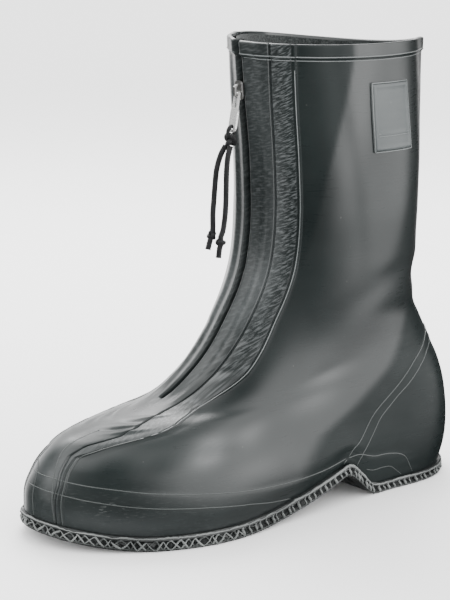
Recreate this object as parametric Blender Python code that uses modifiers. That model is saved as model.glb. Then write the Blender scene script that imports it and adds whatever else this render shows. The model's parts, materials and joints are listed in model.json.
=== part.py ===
"""Rubber zip overshoe for the left foot: toe towards -Y, outer side towards +X, floor at z = 0.

The boot wall is one function of a ring number and a distance round the ring from the front centre line.
Everything that lies on the wall is cut from that same function at its own distance from it.
"""

import math

import bmesh
import bpy
import numpy as np
from mathutils import Matrix, Vector
from mathutils.geometry import delaunay_2d_cdt

# Driving sizes, in metres
SOLE_LENGTH = 0.305
BALL_WIDTH = 0.118
BOOT_HEIGHT = 0.275
ANKLE_HEIGHT = 0.150
WALL = 0.0022
CLEARANCE = 0.0003

SOLE_EDGE = 0.0082
HEEL_EDGE = 0.0062
SOLE_LIP = 0.003
TOE_SPRING = 0.008
ARCH_RISE = 0.017
EDGE_RIB_PITCH = 0.0047
EDGE_RIB_DEPTH = 0.0018
PLAIN_PITCH = 0.009
TREAD_PITCH = 0.008
TREAD_RIB = 0.0026
TREAD_DEPTH = 0.0025
INSOLE_THICKNESS = 0.0015

SLIT_WIDTH = 0.0034
PLACKET_WIDTH = 0.0325
FLAP_THICKNESS = 0.0016
COLLAR_THICKNESS = 0.0009
FOXING_THICKNESS = 0.0008
COUNTER_THICKNESS = 0.0008
LABEL_THICKNESS = 0.0012

TAPE_THICKNESS = 0.0008
CHAIN_WIDTH = 0.0022
CHAIN_DEPTH = 0.0024
SLIDER_WIDTH = 0.0092
SLIDER_LENGTH = 0.0110
SLIDER_PLATE = 0.0011
TIP_FALL = 0.0014
NECK_WIDTH = 0.0011
BAIL_HEIGHT = 0.0034
BAIL_LENGTH = 0.0078
BAIL_WIDTH = 0.0015
BAIL_BAR = 0.0011
PULL_LENGTH = 0.0225
PULL_WIDTH = 0.0062
PULL_THICKNESS = 0.0012
PULL_NECK = 0.0080
PULL_EYE = 0.0032
PULL_ARM = 0.0012
PULL_ARM_OVERLAP = 0.0018
PULL_ARM_RISE = 0.0008
PULL_ROUNDING = 0.0024
CROSSBAR_RADIUS = 0.0005
FRONT_PLATE_SHARE = 0.62
FRONT_PLATE_ROUNDING = 0.0016
REAR_PLATE_ROUNDING = 0.002
NECK_SHARE = 0.7
PULL_LEAN = math.radians(9)
CORD_DIAMETER = 0.003
KNOT_DIAMETER = 0.0075
END_KNOT = 1.8

# One row for each ring of the boot wall, from the feather line above the sole to the collar.
# front and back are how far the ring's ends lie ahead of and behind the heel seat, in sole lengths.
# Rises of 0 to 1 run from the feather line to the ankle height, and 1 to 2 from there to the collar.
# toe to heel are half widths at 0.07, 0.25, 0.5, 0.75 and 0.93 of the ring's length, in ball widths.
RING_COLUMNS = ("front", "front_rise", "back", "back_rise", "toe", "ball", "waist", "seat", "heel")
RINGS = (
    (0.830, 0.000, 0.144, 0.000, 0.284, 0.466, 0.403, 0.347, 0.290),
    (0.830, 0.097, 0.153, 0.097, 0.290, 0.480, 0.415, 0.362, 0.308),
    (0.822, 0.178, 0.156, 0.181, 0.282, 0.475, 0.412, 0.368, 0.312),
    (0.806, 0.258, 0.155, 0.273, 0.258, 0.438, 0.392, 0.364, 0.303),
    (0.770, 0.328, 0.151, 0.365, 0.196, 0.350, 0.369, 0.356, 0.280),
    (0.705, 0.368, 0.141, 0.450, 0.142, 0.314, 0.352, 0.343, 0.246),
    (0.626, 0.396, 0.126, 0.520, 0.136, 0.304, 0.341, 0.331, 0.214),
    (0.552, 0.443, 0.109, 0.591, 0.148, 0.300, 0.334, 0.318, 0.196),
    (0.496, 0.516, 0.092, 0.654, 0.160, 0.299, 0.335, 0.309, 0.186),
    (0.449, 0.608, 0.075, 0.725, 0.168, 0.301, 0.343, 0.305, 0.179),
    (0.408, 0.730, 0.067, 0.802, 0.174, 0.309, 0.356, 0.307, 0.176),
    (0.373, 0.862, 0.064, 0.901, 0.182, 0.321, 0.372, 0.316, 0.175),
    (0.353, 1.000, 0.064, 1.000, 0.189, 0.332, 0.386, 0.328, 0.175),
    (0.347, 1.205, 0.066, 1.205, 0.193, 0.340, 0.395, 0.336, 0.171),
    (0.355, 1.450, 0.072, 1.450, 0.190, 0.338, 0.394, 0.328, 0.158),
    (0.370, 1.720, 0.080, 1.695, 0.174, 0.322, 0.380, 0.303, 0.131),
    (0.384, 2.000, 0.088, 1.965, 0.150, 0.290, 0.352, 0.262, 0.096),
)
COLLAR_RING = 15.74
WALL_ROWS = (
    0, 0.6, 1.2, 1.8, 2.4, 3, 3.5, 4, 4.5, 5, 5.5, 6, 6.5, 7, 7.5, 8,
    8.5, 9, 9.5, 10, 10.6, 11.3, 12, 13, 14, 15, COLLAR_RING,
)
ZIP_END_ROW = 7
ARCH_FADE_RING = 3.0
END_BLUNTNESS = 1.06

# Where the placket's smooth flap ends and where its bead runs, as shares of the placket's width
# measured round each ring from the front centre line.
PLACKET_RINGS = (0.0, 2.0, 2.8, 3.5, 4.0, 4.5, 5.0, 5.5, 6.2, 7.0, 8.0, 9.0, 10.0, 16.0)
FLAP_SHARES = (0.46, 0.415, 0.355, 0.31, 0.40, 0.72, 0.71, 0.585, 0.46, 0.445, 0.477, 0.49, 0.49, 0.49)
BEAD_SHARES = (0.60, 0.54, 0.49, 0.475, 0.83, 1.42, 1.45, 1.29, 1.05, 1.015, 1.12, 1.06, 1.00, 1.00)

# Where the columns of the wall lie between the placket's edge and the back, as shares of that distance.
COLUMN_SHARES = (
    0.045, 0.09, 0.135, 0.18, 0.24, 0.31, 0.38, 0.44, 0.50, 0.55, 0.60,
    0.645, 0.675, 0.70, 0.725, 0.75, 0.785, 0.825, 0.865, 0.91, 0.955, 1.0,
)

# The swing of the last, as shares of ball width towards the outer side, against shares of sole length.
SWING = ((-0.85, -0.045), (-0.60, 0.000), (-0.32, 0.028), (0.00, 0.000), (0.16, 0.000))
SWING_FADE_RING = 8.0

# Shares of sole length ahead of the heel seat where the underside changes.
SPRING_START = 0.66
ARCH_START = 0.52
ARCH_TOP = 0.215
ARCH_SKEW = 1.9
BREAST_FOOT = 0.118
EDGE_THINNING = (0.10, 0.30)

# Across the sole's side from floor to ledge: distance from the lip's edge, then height between
# underside and feather line. The second row is the ribbed one.
EDGE_PROFILE = (
    (-0.0012, 0.00),
    (-0.0002, 0.36),
    (-0.0012, 0.64),
    (0.0000, 0.78),
    (-0.0007, 1.00),
)
LEDGE_INSET = 0.0010

# Across a placket strip: wall column counted from the centre line, then height in flap thicknesses.
STRIP_PROFILE = (
    (1.0, 0.80), (2.0, 0.65), (3.0, 1.00), (3.12, 0.35), (3.30, 0.70),
    (4.0, 0.70), (4.78, 0.65), (4.90, 1.05), (5.0, 0.60),
)
TOE_STRIP_HEIGHT = 0.85
TOE_STRIP_GAP = 0.0005
TOE_STRIP_FOOT = 0.08

# Top edges of the foxing band and the heel counter: wall column, then ring.
FOXING_TOPS = (
    (5.15, 2.33), (6, 2.25), (7, 2.13), (8, 1.97), (9, 1.87), (10, 1.75), (11, 1.52),
    (12, 1.25), (13, 0.93), (14, 0.62), (15, 0.36), (15.85, 0.24),
)
COUNTER_TOPS = (
    (16, 0.25), (16.15, 0.60), (16.35, 1.20), (16.55, 1.80), (16.75, 2.40), (17, 3.00), (17.4, 3.50),
    (18, 4.00), (19, 4.50), (20, 5.00), (21, 5.50), (22, 6.00), (23, 6.40), (24, 6.70), (25, 6.88),
    (26, 7.00), (27, 7.00),
)
LABEL_PLACES = (11.3, 12, 13, 14, 15, 15.2)
LABEL_RINGS = (14.15, 15.37)

SLIDER_RING = 15.2
CHAIN_END_RING = 14.95

# The cord's knot and tails from the pull's hinge, in metres, with the swell of the cord at each point.
KNOT_PLACE = (0.0, -0.0044, -0.0265)
TAIL_INNER = (
    (-0.0019, -0.0063, -0.0299, 1.0), (-0.0028, -0.0092, -0.0355, 1.0), (-0.0030, -0.0116, -0.0430, 1.0),
    (-0.0030, -0.0126, -0.0510, 1.0), (-0.0030, -0.0132, -0.0600, 1.0), (-0.0030, -0.0138, -0.0690, 1.0),
    (-0.0030, -0.0136, -0.0780, 1.0), (-0.0031, -0.0142, -0.0815, END_KNOT),
    (-0.0032, -0.0154, -0.0850, END_KNOT),
    (-0.0033, -0.0162, -0.0880, 1.0), (-0.0033, -0.0168, -0.0900, 0.9),
)
TAIL_OUTER = (
    (0.0019, -0.0060, -0.0300, 1.0), (0.0030, -0.0086, -0.0360, 1.0), (0.0034, -0.0096, -0.0440, 1.0),
    (0.0034, -0.0096, -0.0530, 1.0), (0.0034, -0.0096, -0.0620, 1.0), (0.0034, -0.0100, -0.0700, 1.0),
    (0.0034, -0.0112, -0.0780, 1.0), (0.0034, -0.0128, -0.0820, END_KNOT), (0.0034, -0.0128, -0.0860, END_KNOT),
    (0.0034, -0.0136, -0.0890, 1.0), (0.0034, -0.0142, -0.0940, 0.9),
)

COLOURS = {
    "black rubber": ((0.035, 0.039, 0.038, 1), 0.42, 0.0),
    "sole rubber": ((0.028, 0.031, 0.031, 1), 0.55, 0.0),
    "lining": ((0.06, 0.065, 0.06, 1), 0.95, 0.0),
    "nylon": ((0.02, 0.02, 0.022, 1), 0.8, 0.0),
    "grey rubber": ((0.16, 0.17, 0.17, 1), 0.45, 0.0),
    "nickel": ((0.62, 0.62, 0.62, 1), 0.25, 1.0),
}


def clear_scene():
    for obj in list(bpy.data.objects):
        bpy.data.objects.remove(obj, do_unlink=True)


def make_collection(name, hidden=False):
    made = bpy.data.collections.new(name)
    bpy.context.scene.collection.children.link(made)
    made.hide_render = hidden
    return made


def make_material(node_name, finish):
    colour, roughness, metallic = COLOURS[finish]
    material = bpy.data.materials.new(node_name + " " + finish)
    material.use_nodes = True
    shader = material.node_tree.nodes["Principled BSDF"]
    shader.inputs["Base Color"].default_value = colour
    shader.inputs["Roughness"].default_value = roughness
    shader.inputs["Metallic"].default_value = metallic
    return material


def add_part(name, mesh, finish):
    part = bpy.data.objects.new(name, mesh)
    part.data.materials.clear()
    part.data.materials.append(make_material(name, finish))
    PARTS.objects.link(part)
    return part


# The boot wall


def through_rows(values, place):
    """A smooth curve through equally spaced values, read at fractional places."""
    values = np.asarray(values, float)
    last = len(values) - 1
    place = np.clip(np.asarray(place, float), 0, last)
    low = np.minimum(place.astype(int), last - 1)
    share = place - low
    slopes = np.gradient(values, axis=0)
    a, b = values[low], values[low + 1]
    slope_a, slope_b = slopes[low], slopes[low + 1]
    return (
        a * (2 * share**3 - 3 * share**2 + 1)
        + b * (3 * share**2 - 2 * share**3)
        + slope_a * (share**3 - 2 * share**2 + share)
        + slope_b * (share**3 - share**2)
    )


def smooth_step(value, low, high):
    share = np.clip((value - low) / (high - low), 0, 1)
    return share * share * (3 - 2 * share)


def underside(y):
    """Height of the sole's underside above the floor, from toe spring through the arch to the heel."""
    ahead = -np.asarray(y, float) / SOLE_LENGTH
    toe_front = RINGS[0][0] + SOLE_LIP / SOLE_LENGTH
    spring = np.clip((ahead - SPRING_START) / (toe_front - SPRING_START), 0, 1) ** 2
    arch = np.clip((ARCH_START - ahead) / (ARCH_START - ARCH_TOP), 0, 1) ** ARCH_SKEW
    breast = smooth_step(ahead, BREAST_FOOT, ARCH_TOP)
    return TOE_SPRING * spring + ARCH_RISE * arch * breast


def footbed(y):
    """Height of the sole's upper face. The sole's edge is thinner under the heel."""
    ahead = -np.asarray(y, float) / SOLE_LENGTH
    thickness = HEEL_EDGE + (SOLE_EDGE - HEEL_EDGE) * smooth_step(ahead, *EDGE_THINNING)
    return underside(y) + thickness


def swing(y):
    places, shares = zip(*SWING)
    fine = np.linspace(places[0], places[-1], 60)
    rough = np.interp(fine, places, shares)
    kernel = np.hanning(19)
    padded = np.pad(rough, 9, mode="edge")
    smoothed = np.convolve(padded, kernel / kernel.sum(), mode="valid")
    return BALL_WIDTH * np.interp(np.asarray(y) / SOLE_LENGTH, fine, smoothed)


def rise_to_height(rise):
    floor_level = SOLE_EDGE + CLEARANCE
    low = floor_level + rise * (ANKLE_HEIGHT - floor_level)
    top = BOOT_HEIGHT - COLLAR_THICKNESS - CLEARANCE
    high = ANKLE_HEIGHT + (rise - 1) * (top - ANKLE_HEIGHT)
    return np.where(rise <= 1, low, high)


def ring_outline(ring, turn, side):
    """Points of one ring. turn runs from 0 at the front to pi at the back."""
    row = dict(zip(RING_COLUMNS, through_rows(RINGS, ring)))
    along = (1 - np.cos(turn)) / 2
    y = SOLE_LENGTH * (-row["front"] + along * (row["front"] + row["back"]))
    rise = row["front_rise"] + along * (row["back_rise"] - row["front_rise"])
    z = rise_to_height(rise)
    fade = smooth_step(ring, 0, ARCH_FADE_RING)
    z = z + (1 - fade) * (footbed(y) - SOLE_EDGE)
    sines = (0.5, math.sqrt(0.75), 1.0, math.sqrt(0.75), 0.5)
    breadths = [row[name] / sine for name, sine in zip(RING_COLUMNS[4:], sines)]
    breadths = [breadths[0] * END_BLUNTNESS] + breadths + [breadths[-1] * END_BLUNTNESS]
    breadth = through_rows(breadths, turn / math.pi * 6)
    x = side * BALL_WIDTH * breadth * np.sin(turn)
    x = x + swing(y) * (1 - smooth_step(ring, 0, SWING_FADE_RING))
    return np.stack([x, y, z], axis=-1)


class Ring:
    """A ring of the wall measured along its own length from the front centre, outer side positive."""

    def __init__(self, number):
        turn = np.linspace(0, math.pi, 181)
        outer = ring_outline(number, turn, 1)
        inner = ring_outline(number, turn[::-1], -1)
        loop = np.concatenate([outer, inner[1:]])
        steps = np.linalg.norm(np.diff(loop, axis=0), axis=1)
        self.length = np.concatenate([[0], np.cumsum(steps)])
        self.loop = loop
        self.outer = self.length[180]
        self.inner = self.length[-1] - self.outer

    def at(self, distance):
        wrapped = np.mod(np.asarray(distance, float), self.length[-1])
        return np.stack([np.interp(wrapped, self.length, self.loop[:, k]) for k in range(3)], axis=-1)


RING_CACHE = {}


def ring(number):
    number = round(float(number), 5)
    if number not in RING_CACHE:
        RING_CACHE[number] = Ring(number)
    return RING_CACHE[number]


def skin(number, distance, offset=0.0):
    """Points on the wall's outer face, moved outwards by offset along the wall's own direction."""
    step = 0.02
    last = len(RINGS) - 1
    here = ring(number)
    distance = np.asarray(distance, float)
    point = here.at(distance)
    if np.all(np.asarray(offset) == 0):
        return point
    low, high = max(number - step, 0), min(number + step, last)
    share = distance / here.outer
    up = ring(high).at(share * ring(high).outer) - ring(low).at(share * ring(low).outer)
    ahead = here.at(distance + 0.0015) - here.at(distance - 0.0015)
    normal = np.cross(ahead, up)
    normal = normal / np.linalg.norm(normal, axis=-1, keepdims=True)
    return point + normal * np.asarray(offset)[..., None]


def flap_edge(number):
    return PLACKET_WIDTH * float(np.interp(number, PLACKET_RINGS, FLAP_SHARES))


def placket_edge(number):
    return PLACKET_WIDTH * float(np.interp(number, PLACKET_RINGS, BEAD_SHARES))


def wall_columns(number):
    """Distances of the wall's columns on the outer side, from the slit's edge to the back."""
    here = ring(number)
    slit, flap, edge = SLIT_WIDTH / 2, flap_edge(number), placket_edge(number)
    rest = [edge + share * (here.outer - edge) for share in COLUMN_SHARES]
    return np.array([slit, (slit + flap) / 2, flap, (flap + edge) / 2, edge] + rest)


def both_sides(number):
    """All columns in order from the slit's outer edge, round the back, to its inner edge."""
    here = ring(number)
    outer = wall_columns(number)
    edge = placket_edge(number)
    ratio = (here.inner - edge) / (here.outer - edge)
    mirrored = np.where(outer <= edge, outer, edge + (outer - edge) * ratio)
    return np.concatenate([outer, here.length[-1] - mirrored[:-1][::-1]])


ROW_CACHE = {}


def wall_row(row, offset):
    """The wall's vertices on one row, moved outwards: the centre line, then its columns round the back."""
    if (row, offset) not in ROW_CACHE:
        points = [skin(row, [0.0], offset), skin(row, both_sides(row), offset)]
        ROW_CACHE[row, offset] = np.concatenate(points)
    return ROW_CACHE[row, offset]


def facet(number, column, offset=0.0):
    """A point on the wall's own facets. Columns count from the centre line, negative on the inner side."""
    above = next(k for k, row in enumerate(ROWS) if row >= number)
    rows = ROWS[max(above - 1, 0)], ROWS[above]
    share = (number - rows[0]) / (rows[1] - rows[0]) if above else 0.0
    side = -1 if column < 0 else 1
    whole = int(abs(column))
    along = abs(column) - whole
    ends = []
    for row in rows:
        points = wall_row(row, offset)
        start = points[side * whole]
        ends.append(start + along * (points[side * (whole + 1)] - start) if along else start)
    return ends[0] + share * (ends[1] - ends[0])


def rows_between(low, high):
    return [low] + [row for row in ROWS if low < row < high] + [high]


def grid_mesh(name, rows, skipped=(), close=False):
    """A mesh of quads through rows of points. skipped holds (row, column) quads that stay open."""
    made = bmesh.new()
    verts = [[made.verts.new(point) for point in row] for row in rows]
    count = len(rows[0])
    for i in range(len(rows) - 1):
        for j in range(count if close else count - 1):
            if (i, j) in skipped:
                continue
            k = (j + 1) % count
            made.faces.new((verts[i][j], verts[i][k], verts[i + 1][k], verts[i + 1][j]))
    loose = [vert for vert in made.verts if not vert.link_faces]
    bmesh.ops.delete(made, geom=loose, context="VERTS")
    mesh = bpy.data.meshes.new(name)
    made.to_mesh(mesh)
    made.free()
    return mesh


def solidify(part, thickness, outwards):
    modifier = part.modifiers.new("wall", "SOLIDIFY")
    modifier.thickness = thickness
    modifier.offset = 1 if outwards else -1
    modifier.use_even_offset = True
    modifier.use_rim = True


def build_upper():
    rows = [wall_row(row, 0.0) for row in ROWS]
    count = len(rows[0])
    slit = {(i, j) for i in range(len(rows) - 1) if ROWS[i] >= ZIP_END_ROW for j in (0, count - 1)}
    part = add_part("upper", grid_mesh("upper", rows, slit, close=True), "black rubber")
    solidify(part, WALL, False)


# The sole


def plan_edge(distance, offset):
    """Plan points beside the lowest ring, moved outwards by offset."""
    here = ring(0)
    distance = np.asarray(distance, float)
    point = here.at(distance)
    ahead = here.at(distance + 0.001) - here.at(distance - 0.001)
    across = np.stack([ahead[:, 1], -ahead[:, 0]], axis=-1)
    across = across / np.linalg.norm(across, axis=-1, keepdims=True)
    return point[:, :2] + across * np.asarray(offset, float).reshape(-1, 1)


def sole_columns():
    """The wall's columns round the lowest ring, without the two at the slit."""
    return np.concatenate([[0.0], both_sides(0)[1:-1]])


def feather_height(distance):
    """Height of the sole's upper edge: straight between the wall's columns, as the wall's rim is."""
    columns = np.append(sole_columns(), ring(0).length[-1])
    heights = ring(0).at(columns)[:, 2] - CLEARANCE
    return np.interp(distance, columns, heights)


def between_columns(pitch, even):
    """Stations round the sole that include every column, about a pitch apart."""
    columns = np.append(sole_columns(), ring(0).length[-1])
    stations = []
    for low, high in zip(columns[:-1], columns[1:]):
        count = max(1, round((high - low) / pitch))
        if even:
            count = max(2, 2 * round((high - low) / pitch / 2))
        stations.extend(low + (high - low) * np.arange(count) / count)
    return np.array(stations)


def inside_loop(points, loop):
    """Whether each plan point lies inside a closed loop."""
    x, y = points[:, 0:1], points[:, 1:2]
    ax, ay = loop[:, 0], loop[:, 1]
    bx, by = np.roll(ax, -1), np.roll(ay, -1)
    crosses = (ay > y) != (by > y)
    safe = np.where(by == ay, 1, by - ay)
    left = x < (bx - ax) * (y - ay) / safe + ax
    return (crosses & left).sum(axis=1) % 2 == 1


def tread_wells(limit):
    """Centres of the pyramid wells whose squares lie inside the limit. A rib crossing is at the origin."""
    reach = int(SOLE_LENGTH / TREAD_PITCH) + 1
    across = (np.arange(-reach, reach) + 0.5) * TREAD_PITCH
    centres = np.array([(x, y) for x in across for y in across])
    half = (TREAD_PITCH - TREAD_RIB) / 2
    whole = np.ones(len(centres), bool)
    for dx in (-half, half):
        for dy in (-half, half):
            whole &= inside_loop(centres + np.array([dx, dy]), limit)
    return centres[whole], half


def tread_face(loop, limit):
    """Plan triangles of the underside between its edge loop and the wells' corners and bottoms."""
    centres, half = tread_wells(limit)
    points = [Vector(p) for p in loop]
    edges = [(k, (k + 1) % len(loop)) for k in range(len(loop))]
    corners = ((-half, -half), (half, -half), (half, half), (-half, half))
    for x, y in centres:
        first = len(points)
        points.extend(Vector((x + dx, y + dy)) for dx, dy in corners)
        edges.extend((first + k, first + (k + 1) % 4) for k in range(4))
        points.append(Vector((x, y)))
    made = delaunay_2d_cdt(points, edges, [], 1, 1e-7)
    origins = [origin[0] for origin in made[3]]
    deep = [k >= len(loop) and (k - len(loop)) % 5 == 4 for k in origins]
    return made[0], made[2], origins, deep


def build_outsole():
    mesh = bmesh.new()
    ribbed = between_columns(EDGE_RIB_PITCH / 2, True)
    plain = between_columns(PLAIN_PITCH, False)
    columns = sole_columns()
    lip = SOLE_LIP

    def level(stations, inset, share):
        bases = plan_edge(stations, lip + inset)
        low = underside(bases[:, 1])
        heights = low + share * (feather_height(stations) - low)
        return [mesh.verts.new((x, y, z)) for (x, y), z in zip(bases, heights)]

    valleys = np.where(np.arange(len(ribbed)) % 2 == 1, -EDGE_RIB_DEPTH, 0.0)
    inset, share = EDGE_PROFILE[0]
    loops = [(ribbed, level(ribbed, np.full(len(ribbed), inset), share))]
    inset, share = EDGE_PROFILE[1]
    loops.append((ribbed, level(ribbed, inset + valleys, share)))
    for inset, share in EDGE_PROFILE[2:4]:
        loops.append((plain, level(plain, np.full(len(plain), inset), share)))
    inset, share = EDGE_PROFILE[4]
    loops.append((columns, level(columns, np.full(len(columns), inset), share)))
    ledge = -(lip + WALL + LEDGE_INSET)
    loops.append((columns, level(columns, np.full(len(columns), ledge), 1.0)))
    for lower, upper in zip(loops[:-1], loops[1:]):
        bridge(mesh, lower, upper, ring(0).length[-1])

    rungs = loops[-1][1]
    count = len(rungs)
    for k in range(count // 2):
        corners = [rungs[k], rungs[k + 1], rungs[count - k - 1], rungs[-k]]
        mesh.faces.new(list(dict.fromkeys(corners)))

    edge = [vert.co.xy for vert in loops[0][1]]
    limit = plan_edge(ribbed, lip + EDGE_PROFILE[0][0] - TREAD_RIB * 0.6)
    places, faces, origins, deep = tread_face(edge, limit)
    verts = []
    for place, origin, is_deep in zip(places, origins, deep):
        if origin < len(edge):
            verts.append(loops[0][1][origin])
            continue
        height = float(underside(place.y)) + (TREAD_DEPTH if is_deep else 0)
        verts.append(mesh.verts.new((place.x, place.y, height)))
    for face in faces:
        mesh.faces.new([verts[k] for k in face])
    bmesh.ops.recalc_face_normals(mesh, faces=mesh.faces)
    data = bpy.data.meshes.new("outsole")
    mesh.to_mesh(data)
    mesh.free()
    add_part("outsole", data, "sole rubber")


def bridge(mesh, lower, upper, length):
    """Triangles between two closed loops of vertices, each with its stations round the same ring."""
    places_a, verts_a = lower
    places_b, verts_b = upper
    count_a, count_b = len(verts_a), len(verts_b)
    a = b = 0
    while a < count_a or b < count_b:
        next_a = places_a[a + 1] if a + 1 < count_a else length
        next_b = places_b[b + 1] if b + 1 < count_b else length
        here_a, here_b = verts_a[a % count_a], verts_b[b % count_b]
        if b >= count_b or (a < count_a and next_a < next_b - 1e-9):
            mesh.faces.new((here_a, verts_a[(a + 1) % count_a], here_b))
            a += 1
        elif a >= count_a or next_b < next_a - 1e-9:
            mesh.faces.new((here_a, verts_b[(b + 1) % count_b], here_b))
            b += 1
        else:
            corner_a, corner_b = verts_a[(a + 1) % count_a], verts_b[(b + 1) % count_b]
            mesh.faces.new((here_a, corner_a, corner_b))
            mesh.faces.new((here_a, corner_b, here_b))
            a += 1
            b += 1


def build_insole():
    """A sheet on the sole's ledge, inside the wall, on the same rungs as the sole's upper face."""
    columns = sole_columns()
    edge = plan_edge(columns, -(WALL + LEDGE_INSET + CLEARANCE))
    heights = feather_height(columns) + CLEARANCE
    count = len(columns)
    mesh = bmesh.new()
    verts = [mesh.verts.new((x, y, z)) for (x, y), z in zip(edge, heights)]
    for k in range(count // 2):
        corners = [verts[k], verts[k + 1], verts[count - k - 1], verts[-k]]
        mesh.faces.new(list(dict.fromkeys(corners)))
    bmesh.ops.triangulate(mesh, faces=mesh.faces)
    bmesh.ops.recalc_face_normals(mesh, faces=mesh.faces)
    if sum(face.normal.z for face in mesh.faces) < 0:
        bmesh.ops.reverse_faces(mesh, faces=mesh.faces)
    data = bpy.data.meshes.new("insole")
    mesh.to_mesh(data)
    mesh.free()
    part = add_part("insole", data, "lining")
    solidify(part, INSOLE_THICKNESS, True)


# What lies on the wall


def closed_solid(name, verts, faces, finish):
    made = bmesh.new()
    corners = [made.verts.new(point) for point in verts]
    for face in faces:
        made.faces.new([corners[k] for k in face])
    bmesh.ops.remove_doubles(made, verts=made.verts, dist=1e-6)
    bmesh.ops.recalc_face_normals(made, faces=made.faces)
    data = bpy.data.meshes.new(name)
    made.to_mesh(data)
    made.free()
    return add_part(name, data, finish)


def loft(name, sections, finish):
    """A closed solid through sections of equal point counts, capped at both ends."""
    count = len(sections[0])
    faces = [tuple(range(count)), tuple(range(count * (len(sections) - 1), count * len(sections)))]
    for i in range(len(sections) - 1):
        for j in range(count):
            k = (j + 1) % count
            faces.append((i * count + j, i * count + k, (i + 1) * count + k, (i + 1) * count + j))
    return closed_solid(name, np.concatenate(sections), faces, finish)


def layer(name, columns, lows, tops, base, thickness, finish):
    """A layer on the wall's facets, between its own low and top ring at each column."""
    levels = rows_between(min(lows), max(tops))
    verts, faces = [], []
    for offset in (base, base + thickness):
        for level in levels:
            for column, low, top in zip(columns, lows, tops):
                verts.append(facet(min(max(level, low), top), column, offset))
    wide, tall = len(columns), len(levels)
    far = wide * tall
    for i in range(tall - 1):
        for j in range(wide - 1):
            quad = (i * wide + j, i * wide + j + 1, (i + 1) * wide + j + 1, (i + 1) * wide + j)
            faces.extend([quad, tuple(k + far for k in quad)])
    border = [j for j in range(wide)] + [(i + 1) * wide - 1 for i in range(1, tall)]
    border += [(tall - 1) * wide + j for j in range(wide - 2, -1, -1)]
    border += [i * wide for i in range(tall - 2, 0, -1)]
    for a, b in zip(border, border[1:] + border[:1]):
        faces.append((a, b, b + far, a + far))
    solid = []
    places = [tuple(np.round(vert, 7)) for vert in verts]
    for face in faces:
        kept = [k for n, k in enumerate(face) if places[k] != places[face[n - 1]]]
        if len({places[k] for k in kept}) >= 3:
            solid.append(kept)
    return closed_solid(name, verts, solid, finish)


def build_plackets():
    """On each side of the slit a smooth flap, a groove, a grained strip and a bead."""
    for name, side in (("placket_outer", 1), ("placket_inner", -1)):
        sections = []
        for number in rows_between(ZIP_END_ROW, COLLAR_RING - 0.02):
            top = [facet(number, side * c, CLEARANCE + h * FLAP_THICKNESS) for c, h in STRIP_PROFILE]
            under = [facet(number, side * c, CLEARANCE) for c in (5, 4, 3, 2, 1)]
            sections.append(np.array(top + under))
        loft(name, sections, "black rubber")


def build_toe_strip():
    """The two plackets carry on as one strip from the zip's end over the toe."""
    half = [(c, TOE_STRIP_HEIGHT * h) for c, h in STRIP_PROFILE]
    profile = [(-c, h) for c, h in half[::-1]] + [(0, half[0][1])] + half
    sections = []
    for number in rows_between(TOE_STRIP_FOOT, ZIP_END_ROW - 0.03):
        top = [facet(number, c, TOE_STRIP_GAP + h * FLAP_THICKNESS) for c, h in profile]
        under = [facet(number, c, TOE_STRIP_GAP) for c in range(5, -6, -1)]
        sections.append(np.array(top + under))
    loft("toe_strip", sections, "black rubber")


def build_foxing_and_counter():
    for name, side in (("foxing_outer", 1), ("foxing_inner", -1)):
        columns = [side * c for c, top in FOXING_TOPS]
        tops = [top for c, top in FOXING_TOPS]
        lows = [TOE_STRIP_FOOT] * len(tops)
        layer(name, columns, lows, tops, CLEARANCE, FOXING_THICKNESS, "black rubber")
    half = [(c, top) for c, top in COUNTER_TOPS]
    around = half + [(-c, top) for c, top in half[-2::-1]]
    lows = [TOE_STRIP_FOOT] * len(around)
    tops = [top for c, top in around]
    layer("heel_counter", [c for c, top in around], lows, tops, CLEARANCE, COUNTER_THICKNESS, "black rubber")


def build_collar_binding():
    """A band round the outside of the top edge that folds over it and stops at the slit."""
    last = len(COLUMN_SHARES) + 5
    columns = list(range(1, last + 1)) + list(range(1 - last, 0))
    low, high = CLEARANCE, CLEARANCE + COLLAR_THICKNESS
    sections = []
    for c in columns:
        foot = [facet(COLLAR_RING, c, offset) for offset in (low, high)]
        over = [(high, high + low), (-WALL, high + low), (-WALL, 2 * low), (low, 2 * low)]
        rim = [facet(LAST_RING, c, offset) + np.array([0, 0, rise]) for offset, rise in over]
        sections.append(np.array(foot + rim))
    loft("collar_binding", sections, "black rubber")


def build_label():
    columns = LABEL_PLACES
    lows = [LABEL_RINGS[0]] * len(columns)
    tops = [LABEL_RINGS[1]] * len(columns)
    layer("label_patch", columns, lows, tops, CLEARANCE, LABEL_THICKNESS, "grey rubber")


# The zip


def build_tapes_and_chain():
    base = -(WALL + CLEARANCE + TAPE_THICKNESS)
    for name, side in (("zip_tape_outer", 1), ("zip_tape_inner", -1)):
        ends = ([ZIP_END_ROW + 0.1] * 2, [LAST_RING - 0.1] * 2)
        layer(name, [side, side * 2], *ends, base, TAPE_THICKNESS, "nylon")
    half = CHAIN_WIDTH / 2
    deep = -(WALL + 2 * CLEARANCE + TAPE_THICKNESS) - CHAIN_DEPTH / 2
    sections = []
    for number in rows_between(ZIP_END_ROW + 0.1, CHAIN_END_RING):
        corners = ((half, deep), (half, deep + CHAIN_DEPTH), (-half, deep + CHAIN_DEPTH), (-half, deep))
        sections.append(np.array([skin(number, [along], offset)[0] for along, offset in corners]))
    loft("zip_chain", sections, "nickel")


def slider_frame():
    """Axes at the slider: across the boot, out of the wall and up the slit."""
    numbers = (SLIDER_RING - 0.2, SLIDER_RING, SLIDER_RING + 0.2)
    low, here, high = (skin(number, [0.0])[0] for number in numbers)
    up = Vector(high - low).normalized()
    across = Vector((1, 0, 0))
    out = across.cross(up)
    return Matrix((across, out, up)).transposed().to_4x4(), Vector(here)


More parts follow.
